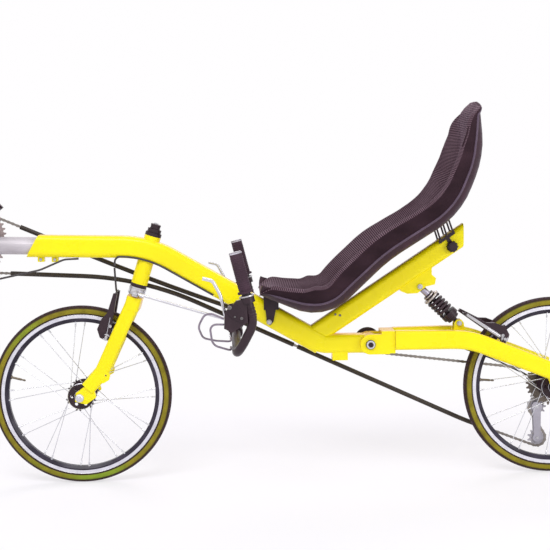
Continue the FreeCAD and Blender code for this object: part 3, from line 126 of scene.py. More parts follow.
# name, place, target, size, power, colour
LAMPS = (("key", (-1.2, -2.6, 3.0), (0, 0, 0), (2.6, 1.8), 84, WHITE),
         ("fill", (2.6, -2.4, 1.0), (0.1, 0, 0), (2.0, 1.6), 36, WHITE),
         ("back", (0.6, 2.8, 2.4), (0, 0, 0.1), (3.0, 1.4), 45, (1.0, 0.9, 0.92)))


def added(name, data):
    """A new object in the scene."""
    ob = bpy.data.objects.new(name, data)
    scene.collection.objects.link(ob)
    return ob


def is_socket(value):
    return isinstance(value, bpy.types.NodeSocket)


def feed(tree, node, inputs):
    """Links each input that is given a socket, and sets the others."""
    for key, value in inputs.items():
        if is_socket(value):
            tree.links.new(value, node.inputs[key])
        else:
            node.inputs[key].default_value = value


def new_node(tree, kind, inputs, **settings):
    node = tree.nodes.new(kind)
    for key, value in settings.items():
        setattr(node, key, value)
    feed(tree, node, inputs)
    return node


def camera():
    data = bpy.data.cameras.new("camera")
    data.sensor_width = SENSOR
    data.lens = LENS
    data.clip_end = 60.0
    look = Vector((math.sin(YAW) * math.cos(DIP), math.cos(YAW) * math.cos(DIP), -math.sin(DIP)))
    right = Vector((math.cos(YAW), -math.sin(YAW), 0))
    down = look.cross(right)
    across = right * math.cos(ROLL) + down * math.sin(ROLL)
    low = -right * math.sin(ROLL) + down * math.cos(ROLL)
    turn = Matrix((across, -low, -look)).transposed().to_4x4()
    scene.camera = added("camera", data)
    scene.camera.matrix_world = Matrix.Translation(Vector(CAMERA_PLACE)) @ turn


def seen_factor(tree):
    """1 for camera, glossy and transmission rays, 0 for the rays that light things."""
    rays = new_node(tree, "ShaderNodeLightPath", {}).outputs
    seen = rays["Is Camera Ray"]
    for name in ("Is Glossy Ray", "Is Transmission Ray"):
        node = new_node(tree, "ShaderNodeMath", {0: seen, 1: rays[name]}, operation="MAXIMUM")
        seen = node.outputs[0]
    return seen


def lamps():
    for name, place, target, size, power, colour in LAMPS:
        data = bpy.data.lights.new(name, "AREA")
        data.shape = "RECTANGLE"
        data.size, data.size_y = size
        data.energy = power
        data.color = colour
        ob = added(name, data)
        ob.location = place
        toward = Vector(target) - Vector(place)
        ob.rotation_euler = toward.to_track_quat("-Z", "Y").to_euler()


# ------------------------------------------------------------------ material helpers
class Finish:
    """A material built up from a few short node calls, most of which give an output socket."""

    def __init__(self, name, colour, roughness, metallic=0.0):
        self.mat = bpy.data.materials.new(name)
        self.mat.use_nodes = True
        self.tree = self.mat.node_tree
        self.shader = self.tree.nodes["Principled BSDF"]
        self.place = self.node("ShaderNodeTexCoord").outputs["Object"]
        self.put(Base_Color=(*colour, 1), Roughness=roughness, Metallic=metallic)

    def node(self, kind, inputs=None, **settings):
        return new_node(self.tree, kind, inputs or {}, **settings)

    def put(self, **inputs):
        """Sets or links the shader's inputs, with _ for each space in their names."""
        feed(self.tree, self.shader, {key.replace("_", " "): inputs[key] for key in inputs})

    def math(self, operation, a, b=0.0):
        return self.node("ShaderNodeMath", {0: a, 1: b}, operation=operation).outputs[0]

    def spread(self, value, low, high, to_low=0.0, to_high=1.0):
        """The value's range from low to high, spread over another range."""
        inputs = {"Value": value, "From Min": low, "From Max": high, "To Min": to_low,
                  "To Max": to_high}
        return self.node("ShaderNodeMapRange", inputs).outputs["Result"]

    def mix(self, share, a, b):
        a, b = (colour if is_socket(colour) else (*colour, 1) for colour in (a, b))
        return self.node("ShaderNodeMixRGB", {0: share, 1: a, 2: b}).outputs[0]

    def shifted(self, centre, scale=(1, 1, 1)):
        """Object coordinates measured from a centre, and stretched."""
        away = tuple(-c * s for c, s in zip(centre, scale))
        inputs = {"Scale": scale, "Location": away, "Vector": self.place}
        return self.node("ShaderNodeMapping", inputs, vector_type="POINT").outputs["Vector"]

    def noise(self, scale, detail=2.0, stretch=(1, 1, 1)):
        inputs = {"Scale": scale, "Detail": detail, "Vector": self.shifted((0, 0, 0), stretch)}
        return self.node("ShaderNodeTexNoise", inputs).outputs["Fac"]

    def parts(self, vector):
        return self.node("ShaderNodeSeparateXYZ", {0: vector}).outputs

    def waves(self, length, pitch):
        """A sine wave over a length in metres."""
        return self.math("SINE", self.math("MULTIPLY", length, TAU / pitch))

    def wheel_radius(self, centre):
        """Distance from a wheel's axis."""
        x, _, z = self.parts(self.shifted(centre))
        square = self.math("ADD", self.math("MULTIPLY", x, x), self.math("MULTIPLY", z, z))
        return self.math("SQRT", square)

    def relief(self, height, strength, distance):
        inputs = {"Strength": strength, "Distance": distance, "Height": height}
        self.put(Normal=self.node("ShaderNodeBump", inputs).outputs["Normal"])


# ------------------------------------------------------------------ floor and backdrop
def floor_material():
    """Pale floor that keeps the object's shadow near it and melts into the backdrop further off."""
    f = Finish("floor", (0.93, 0.91, 0.96), 0.85)
    glow = f.node("ShaderNodeEmission", {"Color": BACKDROP}).outputs[0]
    length = f.node("ShaderNodeVectorMath", {0: f.place}, operation="LENGTH").outputs["Value"]
    inputs = {"Value": length, "From Min": 0.75, "From Max": 2.0, "To Min": 0.55}
    fade = f.node("ShaderNodeMapRange", inputs, interpolation_type="SMOOTHSTEP")
    seen = f.math("MULTIPLY", fade.outputs["Result"], seen_factor(f.tree))
    mix = f.node("ShaderNodeMixShader", {0: seen, 1: f.shader.outputs[0], 2: glow})
    feed(f.tree, f.tree.nodes["Material Output"], {"Surface": mix.outputs[0]})
    return f.mat


def stage():
    world = bpy.data.worlds.new("world")
    scene.world = world
    world.use_nodes = True
    tree = world.node_tree
    inputs = {0: seen_factor(tree), 1: LIGHTING_GREY, 2: BACKDROP}
    mix = new_node(tree, "ShaderNodeMixRGB", inputs)
    feed(tree, tree.nodes["Background"], {"Color": mix.outputs[0]})
    corners = [(x * FLOOR_REACH, y * FLOOR_REACH, FLOOR) for x, y in SQUARE]
    mesh = bpy.data.meshes.new("floor")
    mesh.from_pydata(corners, [], [(0, 1, 2, 3)])
    floor = added("floor", mesh)
    mesh.materials.append(floor_material())


camera()
stage()
lamps()
scene.view_settings.view_transform = "Standard"


# ------------------------------------------------------------------ materials
def paint():
    """Yellow lacquer with fine specks, soft pink bloom and painted highlight on faces looking up.
    """
    f = Finish("yellow_paint", (0.97, 0.87, 0.012), 0.3)
    tint = f.spread(f.noise(7.0, 3.0), 0.35, 0.7)
    base = f.mix(tint, (0.92, 0.80, 0.002), (0.88, 0.74, 0.003))
    speck = f.spread(f.noise(420.0), 0.62, 0.78, 0.0, 0.12)
    # painted highlight: faces that look up are mixed towards salmon, in place of reflected light
    normal = f.node("ShaderNodeTexCoord").outputs["Normal"]
    painted_top_highlight = f.spread(f.parts(normal)[2], 0.75, 0.98, 0.0, 0.45)
    with_painted_highlight = f.mix(painted_top_highlight, base, (1.0, 0.50, 0.22))
    f.put(Base_Color=f.mix(speck, with_painted_highlight, (0.70, 0.52, 0.03)),
          Roughness=f.spread(f.noise(26.0, 4.0), 0.3, 0.7, 0.24, 0.36),
          Specular_IOR_Level=0.25, Coat_Weight=0.12, Coat_Roughness=0.15,
          Sheen_Weight=0.4, Sheen_Roughness=0.25, Sheen_Tint=(1.0, 0.22, 0.20, 1))
    f.relief(f.noise(700.0, 1.0), 0.06, 0.0004)
    return f.mat


def metal(name, colour, roughness, stretch=(1, 1, 1), metallic=1.0):
    """Machined or brushed metal, with lines drawn out along the axis of the smallest stretch."""
    f = Finish(name, colour, roughness, metallic)
    lines = f.noise(260.0, 3.0, stretch)
    patch = f.spread(f.noise(18.0, 3.0), 0.35, 0.75, 0.0, 0.8)
    f.put(Base_Color=f.mix(patch, colour, tuple(c * 0.72 for c in colour)),
          Roughness=f.spread(lines, 0.3, 0.7, roughness * 0.8, min(1.0, roughness * 1.3)))
    f.relief(lines, 0.12, 0.0002)
    return f.mat


def black(name, colour, roughness, grain, depth=0.0004, strength=0.25, sheen=0.0):
    """Moulded plastic, rubber or coating with a fine grain and slightly rubbed patches."""
    f = Finish(name, colour, roughness)
    worn = f.spread(f.noise(30.0, 4.0), 0.5, 0.8, 0.0, 0.5)
    rough = f.spread(f.noise(60.0, 3.0), 0.3, 0.7, roughness * 0.85, min(1.0, roughness * 1.2))
    f.put(Base_Color=f.mix(worn, colour, tuple(c * 2.2 + 0.004 for c in colour)),
          Roughness=rough, Specular_IOR_Level=0.28)
    if sheen:
        f.put(Sheen_Weight=sheen, Sheen_Roughness=0.4, Sheen_Tint=(0.75, 0.6, 0.8, 1))
    f.relief(f.noise(grain), strength, depth)
    return f.mat


def tyre(name, hub):
    """Black tread and bead, olive-yellow sidewall with fine cords and moulded rings."""
    f = Finish(name, (0.03, 0.026, 0.02), 0.75)
    radius = f.wheel_radius(hub)
    mottle = f.spread(f.noise(45.0, 4.0), 0.3, 0.75)
    wall = f.mix(mottle, (0.27, 0.225, 0.013), (0.16, 0.13, 0.010))
    green = f.spread(f.noise(3.2, 1.0), 0.58, 0.68, 0.0, 0.55)
    wall = f.mix(green, wall, (0.22, 0.40, 0.03))
    tread = f.spread(radius, TYRE_R - 0.0092, TYRE_R - 0.0060)
    bead = f.spread(radius, RIM_TOP + 0.0030, RIM_TOP + 0.0042, 1.0, 0.0)
    dark = (0.036, 0.020, 0.013)
    f.put(Base_Color=f.mix(bead, f.mix(tread, wall, dark), dark), Specular_IOR_Level=0.2,
          Roughness=f.spread(mottle, 0.0, 1.0, 0.62, 0.8))
    rings = f.math("MULTIPLY", f.waves(radius, 0.0016), 0.4)
    f.relief(f.math("ADD", rings, f.noise(900.0, 1.0, (1, 0.25, 1))), 0.3, 0.0003)
    return f.mat


def rim_finish(name, hub):
    """Machined braking band above a glossy black inner band."""
    f = Finish(name, (0.7, 0.7, 0.75), 0.3)
    radius = f.wheel_radius(hub)
    band = f.spread(radius, RIM_TOP - 0.0092, RIM_TOP - 0.0088)
    smear = f.spread(f.noise(60.0, 3.0), 0.3, 0.8)
    silver = f.mix(smear, (0.80, 0.79, 0.86), (0.62, 0.61, 0.68))
    cloud = f.spread(f.noise(25.0, 3.0), 0.4, 0.8)
    coat = f.mix(cloud, (0.022, 0.018, 0.03), (0.06, 0.05, 0.075))
    f.put(Base_Color=f.mix(band, coat, silver), Metallic=f.math("MULTIPLY", band, 0.75),
          Roughness=f.spread(band, 0.0, 1.0, 0.22, 0.42), Specular_IOR_Level=0.2)
    f.relief(f.math("MULTIPLY", f.waves(radius, 0.0005), band), 0.12, 0.0001)
    return f.mat


def seat_fabric():
    """Ribbed knit: ribs cross the seat, with a fine mesh between them; the UVs hold lengths."""
    f = Finish("seat_fabric", (0.03, 0.024, 0.034), 0.85)
    across, along, _ = f.parts(f.node("ShaderNodeTexCoord").outputs["UV"])
    rib = f.spread(f.waves(along, 0.0046), -1.0, 1.0)
    worn = f.spread(f.noise(14.0, 4.0), 0.35, 0.75)
    low = f.mix(worn, (0.010, 0.003, 0.008), (0.018, 0.007, 0.013))
    high = f.mix(worn, (0.20, 0.125, 0.155), (0.135, 0.080, 0.100))
    f.put(Base_Color=f.mix(rib, low, high), Specular_IOR_Level=0.15,
          Roughness=f.spread(worn, 0.0, 1.0, 0.74, 0.9),
          Sheen_Weight=0.15, Sheen_Roughness=0.4, Sheen_Tint=(0.8, 0.55, 0.75, 1))
    knit = f.math("MULTIPLY", f.waves(across, 0.0022), 0.18)
    f.relief(f.math("ADD", rib, knit), 0.7, 0.0011)
    return f.mat


def seat_edge():
    """Smooth stretch cloth on the seat's sides, with a light nap."""
    f = Finish("seat_side_cloth", (0.022, 0.017, 0.026), 0.8)
    soft = f.spread(f.noise(9.0, 4.0, (1, 1, 2.5)), 0.35, 0.75)
    f.put(Base_Color=f.mix(soft, (0.016, 0.005, 0.009), (0.036, 0.015, 0.023)),
          Specular_IOR_Level=0.2,
          Sheen_Weight=0.14, Sheen_Roughness=0.35, Sheen_Tint=(0.8, 0.5, 0.7, 1))
    f.relief(f.noise(1400.0, 1.0), 0.3, 0.0003)
    return f.mat


PAINT = paint()
BOOM = metal("boom_aluminium", (0.56, 0.52, 0.55), 0.5, (0.02, 1, 1), 0.25)
SILVER = metal("silver_alloy", (0.74, 0.73, 0.78), 0.3)
DARK_STEEL = metal("dark_steel", (0.20, 0.185, 0.19), 0.38)
STEEL = metal("steel", (0.58, 0.57, 0.60), 0.28)
CHAIN = metal("chain_steel", (0.30, 0.27, 0.25), 0.36)
COGS = metal("cog_steel", (0.17, 0.14, 0.12), 0.42)
RING = metal("ring_alloy", (0.46, 0.38, 0.37), 0.4)
SPOKE = metal("spoke_steel", (0.72, 0.72, 0.76), 0.25)
BRASS = metal("dull_brass", (0.20, 0.165, 0.13), 0.45)
BLACK_METAL = black("black_metal", (0.030, 0.016, 0.022), 0.34, 500.0, 0.0002, 0.15)
BLACK_PLASTIC = black("black_plastic", (0.026, 0.013, 0.019), 0.45, 900.0, 0.0003)
RUBBER = black("rubber", (0.045, 0.022, 0.034), 0.72, 700.0, 0.0005, 0.35, 0.08)
TUBE = black("guide_tube", (0.034, 0.025, 0.019), 0.38, 80.0, 0.0003, 0.1)
CABLE = black("cable_housing", (0.05, 0.043, 0.045), 0.4, 300.0, 0.0002, 0.1)
PALE_CABLE = black("pale_cable", (0.24, 0.20, 0.25), 0.4, 300.0, 0.0002, 0.1)
SHELL = black("seat_shell", (0.034, 0.012, 0.021), 0.52, 160.0, 0.0003, 0.12, 0.1)
PALE_PLASTIC = black("grey_plastic", (0.42, 0.40, 0.44), 0.45, 600.0, 0.0002, 0.15)
RING_GREY = metal("shock_ring", (0.56, 0.51, 0.50), 0.4)
CAGE = metal("cage_steel", (0.46, 0.44, 0.50), 0.36)
NECK = metal("shock_neck", (0.42, 0.39, 0.47), 0.35)
FABRIC = seat_fabric()
EDGE = seat_edge()
# piping colour, lighter than the side cloth and the shell: partly the piping's own, partly a
# painted highlight on the hem's ridge
PIPING_PAINTED_HIGHLIGHT = black("seat_piping_painted_highlight", (0.085, 0.055, 0.085), 0.5, 900.0, 0.0003, 0.2, 0.2)


def dress(material, *names):
    for name in names:
        mesh = NODES[name].data
        mesh.materials.clear()
        mesh.materials.append(material)


def dress_levers():
    """Silver blades in front of the black lever bodies."""
    blade_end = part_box("brake_lever_left")[0].x + 49 * MM
    for name in ("brake_lever_left", "brake_lever_right"):
        mesh = NODES[name].data
        mesh.materials.append(SILVER)
        for face in mesh.polygons:
            if face.center.x < blade_end:
                face.material_index = 1


dress(PAINT, "main_beam", "seat_mast", "swing_arm_yoke", "swing_arm_right", "swing_arm_left",
      "swing_arm_bridge", "fork_crown", "fork_leg_right", "fork_leg_left")
dress(BOOM, "boom")
dress(SILVER, "steering_arm", "axle_front", "axle_rear", "crank_left", "crank_right", "drag_link")
dress(STEEL, "crank_spindle", "rear_derailleur")
dress(BLACK_METAL, "bottom_bracket", "headset_cups", "headset_cap", "pivot_axle", "hub_front",
      "hub_rear", "handlebar", "bar_stem", "front_brake", "rear_brake", "seat_front_bracket",
      "seat_rear_stay", "shock_spring", "shock_body", "brake_lever_left", "brake_lever_right",
      "front_derailleur")
dress(BLACK_PLASTIC, "pedal_left", "pedal_right", "idler")
dress(CAGE, "derailleur_cage")
dress(PALE_PLASTIC, "jockey_wheels")
dress(COGS, "cassette")
dress(RING, "chainrings")
dress(CHAIN, "chain_drive_run", "chain_return_run")
dress(TUBE, "chain_tubes")
dress(RUBBER, "grip_left", "grip_right")
dress(SHELL, "seat_shell")
dress(FABRIC, "seat_cushion")
dress(CABLE, "cable_brake_front", "cables_frame")
dress(PALE_CABLE, "cables_handlebar")
dress(SPOKE, "spokes_front", "spokes_rear")
for end, hub in (("front", FRONT_HUB), ("rear", REAR_HUB)):
    dress(tyre("tyre_" + end, hub), "tyre_" + end)
    dress(rim_finish("rim_" + end, hub), "rim_" + end)
dress_levers()


# ------------------------------------------------------------------ mesh helpers
SHARP = math.radians(40)      # edges bent further than this stay sharp
BEVEL_LIMIT = math.radians(50)


def frame_for(axis):
    """Two directions at right angles to an axis and to each other."""
    axis = axis.normalized()
    first = axis.cross(UP if abs(axis.z) < 0.9 else X).normalized()
    return first, axis.cross(first).normalized()


def directions(points):
    """The way on along a line at each of its points."""
    last = len(points) - 1
    return [(points[min(i + 1, last)] - points[max(i - 1, 0)]).normalized()
            for i in range(last + 1)]


def placed(bm, name, *materials):
    """A smooth object of a bmesh, which is used up."""
    bmesh.ops.recalc_face_normals(bm, faces=bm.faces)
    mesh = bpy.data.meshes.new(name)
    bm.to_mesh(mesh)
    bm.free()
    for face in mesh.polygons:
        face.use_smooth = True
    for material in materials:
        mesh.materials.append(material)
    return added(name, mesh)


class Build:
    """Collects turned, swept and flat shapes into one mesh piece."""

    def __init__(self):
        self.bm = bmesh.new()

    def skin(self, rings, capped=True):
        """Faces between rings of vertices that follow each other, and at both ends."""
        for low, high in zip(rings, rings[1:]):
            for i in range(len(low)):
                j = (i + 1) % len(low)
                self.bm.faces.new((low[i], low[j], high[j], high[i]))
        if capped:
            self.bm.faces.new(rings[0])
            self.bm.faces.new(rings[-1])
        return self

    def turned(self, centre, axis, profile, sides=24):
        """A profile of (radius, distance) rows in mm turned about an axis. A third value in a row
        gives the number of corners of a polygon."""
        axis = axis.normalized()
        a, b = frame_for(axis)
        rings = []
        for radius, along, *corners in profile:
            ring = []
            for turn in turns(sides):
                size = radius * MM
                if corners:
                    half = math.pi / corners[0]
                    size = size / math.cos(turn % (2 * half) - half) * math.cos(half)
                out = a * math.cos(turn) + b * math.sin(turn)
                ring.append(self.bm.verts.new(centre + axis * (along * MM) + out * size))
            rings.append(ring)
        return self.skin(rings)

    def swept(self, points, radius, sides=10, capped=True, taper=None):
        """A round tube along points, in metres, with a radius in mm."""
        rings = []
        side = frame_for(points[1] - points[0])[0]
        for i, (point, along) in enumerate(zip(points, directions(points))):
            side = (side - along * side.dot(along)).normalized()
            other = along.cross(side)
            size = radius * MM * (taper(i / (len(points) - 1)) if taper else 1.0)
            rings.append([self.bm.verts.new(
                point + (side * math.cos(turn) + other * math.sin(turn)) * size)
                for turn in turns(sides)])
        return self.skin(rings, capped)

    def plate(self, outline, direction, thickness):
        """A flat plate: its outline is in metres and it is thickened along a direction, in mm."""
        push = direction.normalized() * (thickness * MM)
        return self.skin([[self.bm.verts.new(p) for p in outline],
                          [self.bm.verts.new(p + push) for p in outline]])

    def block(self, centre, size, axes):
        """A block of a size in mm round a centre."""
        a, b, c = (axis * (length * MM / 2) for axis, length in zip(axes, size))
        return self.plate([centre + a * i + b * j - c for i, j in SQUARE], c, size[2])

    def piece(self, name, body, material, slot, bevel=0.0):
        ob = placed(self.bm, name, material)
        ob.data.set_sharp_from_angle(angle=SHARP)
        if bevel:
            mod = ob.modifiers.new("bevel", "BEVEL")
            mod.width = bevel * MM
            mod.segments = 2
            mod.angle_limit = BEVEL_LIMIT
        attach(ob, body)
        return ob


def turned_piece(name, body, material, slot, shapes):
    """A piece of turned shapes, each given by its centre, axis, profile and number of sides."""
    build = Build()
    for shape in shapes:
        build.turned(*shape)
    build.piece(name, body, material, slot)


def pair(base, x, y, z, profile, sides=24):
    """Two mirrored shapes for turned_piece, beside a place by y on both sides. They face outwards,
    or inwards where y is below 0."""
    return [(base + V(x, sign * y, z), SIDE * sign, profile, sides) for sign in BOTH]


def band(low, high, width, slope):
    """Profile of a raised band round a cylinder: low and high are its radii."""
    return [(low, 0), (high, slope), (high, width - slope), (low, width)]


def hex_head(size, height):
    """Profile of a hexagon head with a washer under it and a slightly domed top."""
    return [(size * 1.25, 0), (size * 1.25, 0.8), (size, 0.8, 6), (size, height * 0.8, 6),
            (size * 0.86, height, 6), (size * 0.3, height)]


def socket_head(size, height):
    """Profile of a round head with a hexagon socket."""
    return [(size, 0), (size, height * 0.8), (size * 0.88, height), (size * 0.5, height, 6),
            (size * 0.5, height * 0.45, 6)]


def rounded_points(corners, radii, step):
    """Points, in metres, along straight runs joined by arcs, about a step apart."""
    points = [corners[0]]
    for before, corner, after, radius in zip(corners, corners[1:], corners[2:], radii):
        into = (corner - before).normalized()
        out = (after - corner).normalized()
        turn = into.angle(out)
        reach = radius * math.tan(turn / 2)
        centre = corner + (out - into).normalized() * (radius / math.cos(turn / 2))
        first = corner - into * reach - centre
        count = max(2, int(radius * turn / step))
        normal = into.cross(out).normalized()
        for i in range(count + 1):
            points.append(centre + Matrix.Rotation(turn * i / count, 3, normal) @ first)
    points.append(corners[-1])
    filled = [points[0]]
    for a, b in zip(points, points[1:]):
        count = max(1, round((b - a).length / step))
        filled += [a + (b - a) * ((i + 1) / count) for i in range(count)]
    return filled


# ------------------------------------------------------------------ seat cover
# All lengths are in mm, except those of the path's bends and of the runs along it, in metres.
SEAT_PATH = [CROWN + V(x, 0, z) for x, z in ((318, 5.3), (484, -64.7), (643, 84.3), (827, 198.3),
                                             (888, 345.3), (878, 483.3))]
SEAT_BENDS = (0.130, 0.400, 0.220, 0.250)
SEAT_STEP = 0.0045
# columns as in the shell: share of the path, half width of the flat bottom, wall angle, wall length
SEAT_SECTIONS = ((0.00, 86, 44, 20), (0.16, 88, 52, 33), (0.34, 84, 58, 46), (0.52, 78, 60, 42),
                 (0.70, 82, 60, 48), (0.86, 76, 60, 42), (1.00, 66, 44, 18))
SEAT_ROUND = 46.0             # radius between the flat bottom and a wall
SEAT_WIDEST = 200.0
UNDER_PAD = 3.9               # from the shell's underside to the pad's
PAD_DEPTH = 22.5
RIM_DEPTH = 8.0
# how far the cover's roll stands above the shell's rim, at shares of the path
COVER_RISE = ((0.0, 4), (0.05, 9), (0.11, 17), (0.16, 33), (0.20, 24), (0.24, 14), (0.28, 13),
              (0.36, 11), (0.45, 12), (0.5, 11), (0.56, 8), (0.62, 6.2), (0.68, 4), (0.74, 3),
              (0.80, 3.5), (0.86, 0), (0.90, -6), (0.93, -5), (0.96, 9), (1.0, 15))
RISE_BLEND = 0.034
PAD_STEPS, ROLL_STEPS, CLOTH_STEPS, UNDER_STEPS = 44, 8, 8, 16
ROLL_INSET = 2.0
ROLL_LOW = -3.4
PAD_EDGE = 46.0               # width over which the pad grows to its full depth
CROWN_DROP = 0.12
CHANNEL_DEPTH, CHANNEL_WIDTH, CHANNEL_PLACE = 1.6, 5.0, 0.62
END_TAPER, ROLL_TAPER = 26.0, 40.0
EVENING_PASSES = 14
HEM_CLEARANCE = 7.0           # least distance from the hem to the rim
HEM_SHARE = 0.22              # of the shell's wall below the hem
# the hem is higher near a share of the path: that share, how far it reaches, and the lift
SHARE_RAISED, RAISED_REACH, RAISED_LIFT = 0.16, 0.15, 9.0
GAP = 0.6                     # between the cover and the shell it wraps
# the hem's fold, as reach from the hem and inset
HEM_FOLD = ((-2.2, -4.6), (-4.4, -4.2), (-5.2, -2.4), (-4.0, -0.7), (4.0, -GAP))
PAD_WAVES = ((0.3, 37.0, 0.0), (0.2, 83.0, 1.0))   # height, and angle by metre and at the start
HALVINGS = 30                 # of the range a rim's reach is searched in


def smoothed(value):
    value = min(1.0, max(0.0, value))
    return value * value * (3 - 2 * value)


def seat_column(share):
    for before, after in zip(SEAT_SECTIONS, SEAT_SECTIONS[1:]):
        if share <= after[0]:
            eased = smoothed((share - before[0]) / (after[0] - before[0]))
            return [a + (b - a) * eased for a, b in zip(before[1:], after[1:])]
    return SEAT_SECTIONS[-1][1:]


def bowl_point(column, reach, inset):
    """Sideways and upward offsets of a place on the bowl's section: reach is measured from the
    middle along the shell's underside, inset from the underside inwards."""
    flat, angle, _ = column
    bend = math.radians(angle)
    sign = -1 if reach < 0 else 1
    reach = abs(reach)
    radius = SEAT_ROUND - inset
    if reach <= flat:
        return sign * reach, inset
    turn = (reach - flat) / SEAT_ROUND
    if turn <= bend:
        return sign * (flat + radius * math.sin(turn)), SEAT_ROUND - radius * math.cos(turn)
    more = reach - flat - SEAT_ROUND * bend
    return (sign * (flat + radius * math.sin(bend) + more * math.cos(bend)),
            SEAT_ROUND - radius * math.cos(bend) + more * math.sin(bend))


def wall_foot(column):
    """Reach at which the round bottom corner ends and the straight wall starts."""
    flat, angle, _ = column
    return flat + SEAT_ROUND * math.radians(angle)


def rounded_end(gap, corner, half_width):
    """Half width that a rounded end leaves at a distance from it."""
    if gap >= corner:
        return SEAT_WIDEST
    short = corner - max(gap, 0.0)
    return half_width - corner + math.sqrt(max(0.0, corner ** 2 - short ** 2))


def seat_half_width(place):
    """Half width that the seat's rounded front and top leave at a place on the path."""
    top = (SEAT_PATH[-1].z - 2 * MM - place.z) / MM
    front = (place.x - SEAT_PATH[0].x - 2 * MM) / MM
    return min(rounded_end(top, 120, 146), rounded_end(front, 52, 160))


def rim_reach(column, limit):
    """Reach of the shell's rim: its wall's end, or where it meets the seat's outline."""
    full = wall_foot(column) + column[2]
    low, high = 0.0, full
    if bowl_point(column, full, 0.0)[0] <= limit:
        return full
    for _ in range(HALVINGS):
        middle = (low + high) / 2
        if bowl_point(column, middle, 0.0)[0] > limit:
            high = middle
        else:
            low = middle
    return low


class Station:
    """A place on the seat's path, with the shell's section there."""

    def __init__(self, place, along, run, total):
        self.place = place
        self.over = along.cross(SIDE)
        if self.over.z < 0 < self.over.x:
            self.over = -self.over
        self.run = run
        self.rest = total - run
        self.end_gap = min(run, self.rest) / MM
        self.share = run / total
        self.column = seat_column(self.share)
        self.rim = rim_reach(self.column, seat_half_width(place))

    def spot(self, reach, inset, lift=0.0):
        u, v = bowl_point(self.column, reach, inset)
        return self.place + SIDE * (u * MM) + self.over * ((v + lift) * MM)

    def hem(self):
        """Reach of the cover's lower edge, a little way up the shell's wall."""
        raised = RAISED_LIFT * math.exp(-((self.share - SHARE_RAISED) / RAISED_REACH) ** 2)
        lift = HEM_SHARE * self.column[2] + raised
        return min(wall_foot(self.column) + lift, self.rim - HEM_CLEARANCE)


def seat_stations():
    points = rounded_points(SEAT_PATH, SEAT_BENDS, SEAT_STEP)
    total = sum((b - a).length for a, b in zip(points, points[1:]))
    stations = []
    run = 0.0
    for i, (point, along) in enumerate(zip(points, directions(points))):
        if i:
            run += (point - points[i - 1]).length
        stations.append(Station(point, along, run, total))
    return stations


def cover_height(share):
    total = 0.0
    weights = 0.0
    for place, rise in COVER_RISE:
        weight = math.exp(-((share - place) / RISE_BLEND) ** 2)
        total += weight * rise
        weights += weight
    return total / weights


def cover_rims(stations):
    """Reach of the cover's roll at each station, with the steps between stations evened out."""
    reaches = [s.rim + cover_height(s.share) * smoothed(0.25 + s.end_gap / ROLL_TAPER)
               for s in stations]
    for _ in range(EVENING_PASSES):
        inner = [(a + 2 * b + c) / 4 for a, b, c in zip(reaches, reaches[1:], reaches[2:])]
        reaches = [reaches[0]] + inner + [reaches[-1]]
    return reaches


def cover_loop(station, rim):
    """One closed section of the cover as (reach, inset) pairs: the pad inside, a roll over the
    rim, the side cloth outside down to its hem, and the way back under the pad."""
    flat, _, wall = station.column
    shell = station.rim
    hem = station.hem()
    edge_reach = rim - ROLL_INSET
    near_end = math.sqrt(smoothed(station.end_gap / END_TAPER))
    loop = []
    for i in range(PAD_STEPS + 1):
        reach = (2 * i / PAD_STEPS - 1) * edge_reach
        edge = smoothed((rim - abs(reach)) / PAD_EDGE)
        crown = 1.0 - CROWN_DROP * (reach / rim) ** 2
        depth = (RIM_DEPTH + (PAD_DEPTH - RIM_DEPTH) * edge) * crown
        off = (abs(reach) - flat * CHANNEL_PLACE) / CHANNEL_WIDTH
        channel = CHANNEL_DEPTH * math.exp(-off ** 2)
        loop.append((reach, UNDER_PAD + (depth - channel) * (0.25 + 0.75 * near_end)))
    roll_high = loop[-1][1]
    middle = (roll_high + ROLL_LOW) / 2
    half = (roll_high - ROLL_LOW) / 2
    right = []
    for i in range(1, ROLL_STEPS + 1):
        turn = math.pi * i / (ROLL_STEPS + 1)
        right.append((edge_reach + math.sin(turn) * half * 0.8, middle + half * math.cos(turn)))
    for i in range(CLOTH_STEPS):
        part = i / (CLOTH_STEPS - 1)
        bulge = 1.1 * math.sin(math.pi * part) * smoothed(wall / 40.0)
        right.append((edge_reach + (hem - edge_reach) * part, ROLL_LOW - bulge))
    right += [(hem + reach, inset) for reach, inset in HEM_FOLD]
    right += [((hem + shell) / 2, -GAP), (shell + 0.8, -GAP), (shell + 1.4, 1.6),
              (shell + 0.8, UNDER_PAD)]
    under = [((1 - 2 * i / UNDER_STEPS) * (shell - 1.0), UNDER_PAD)
             for i in range(UNDER_STEPS + 1)]
    left = [(-reach, inset) for reach, inset in right[::-1]]
    return loop + right + under + left


def seat_cover(stations):
    """Ribbed pad inside the shell, rolled over its rim, with a hem under the sides."""
    bm = bmesh.new()
    layer = bm.loops.layers.uv.new("lengths")
    rows = []
    for station, rim in zip(stations, cover_rims(stations)):
        run = station.run
        wave = sum(size * math.sin(run * rate + start) for size, rate, start in PAD_WAVES)
        row = []
        for reach, inset in cover_loop(station, rim):
            lift = wave if inset > UNDER_PAD + 2 else 0.0
            row.append((bm.verts.new(station.spot(reach, inset, lift)), (reach * MM, run)))
        rows.append(row)
    count = len(rows[0])
    for low, high in zip(rows, rows[1:]):
        for k in range(count):
            j = (k + 1) % count
            corners = (low[k], low[j], high[j], high[k])
            face = bm.faces.new([vert for vert, _ in corners])
            for loop, (_, lengths) in zip(face.loops, corners):
                loop[layer].uv = lengths
            face.material_index = int(PAD_STEPS + ROLL_STEPS <= k < count - ROLL_STEPS)
    for row in (rows[0], rows[-1]):
        bm.faces.new([vert for vert, _ in row])
    ob = placed(bm, "seat_cover", FABRIC, EDGE)
    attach(ob, "frame")
    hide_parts("seat_cushion")


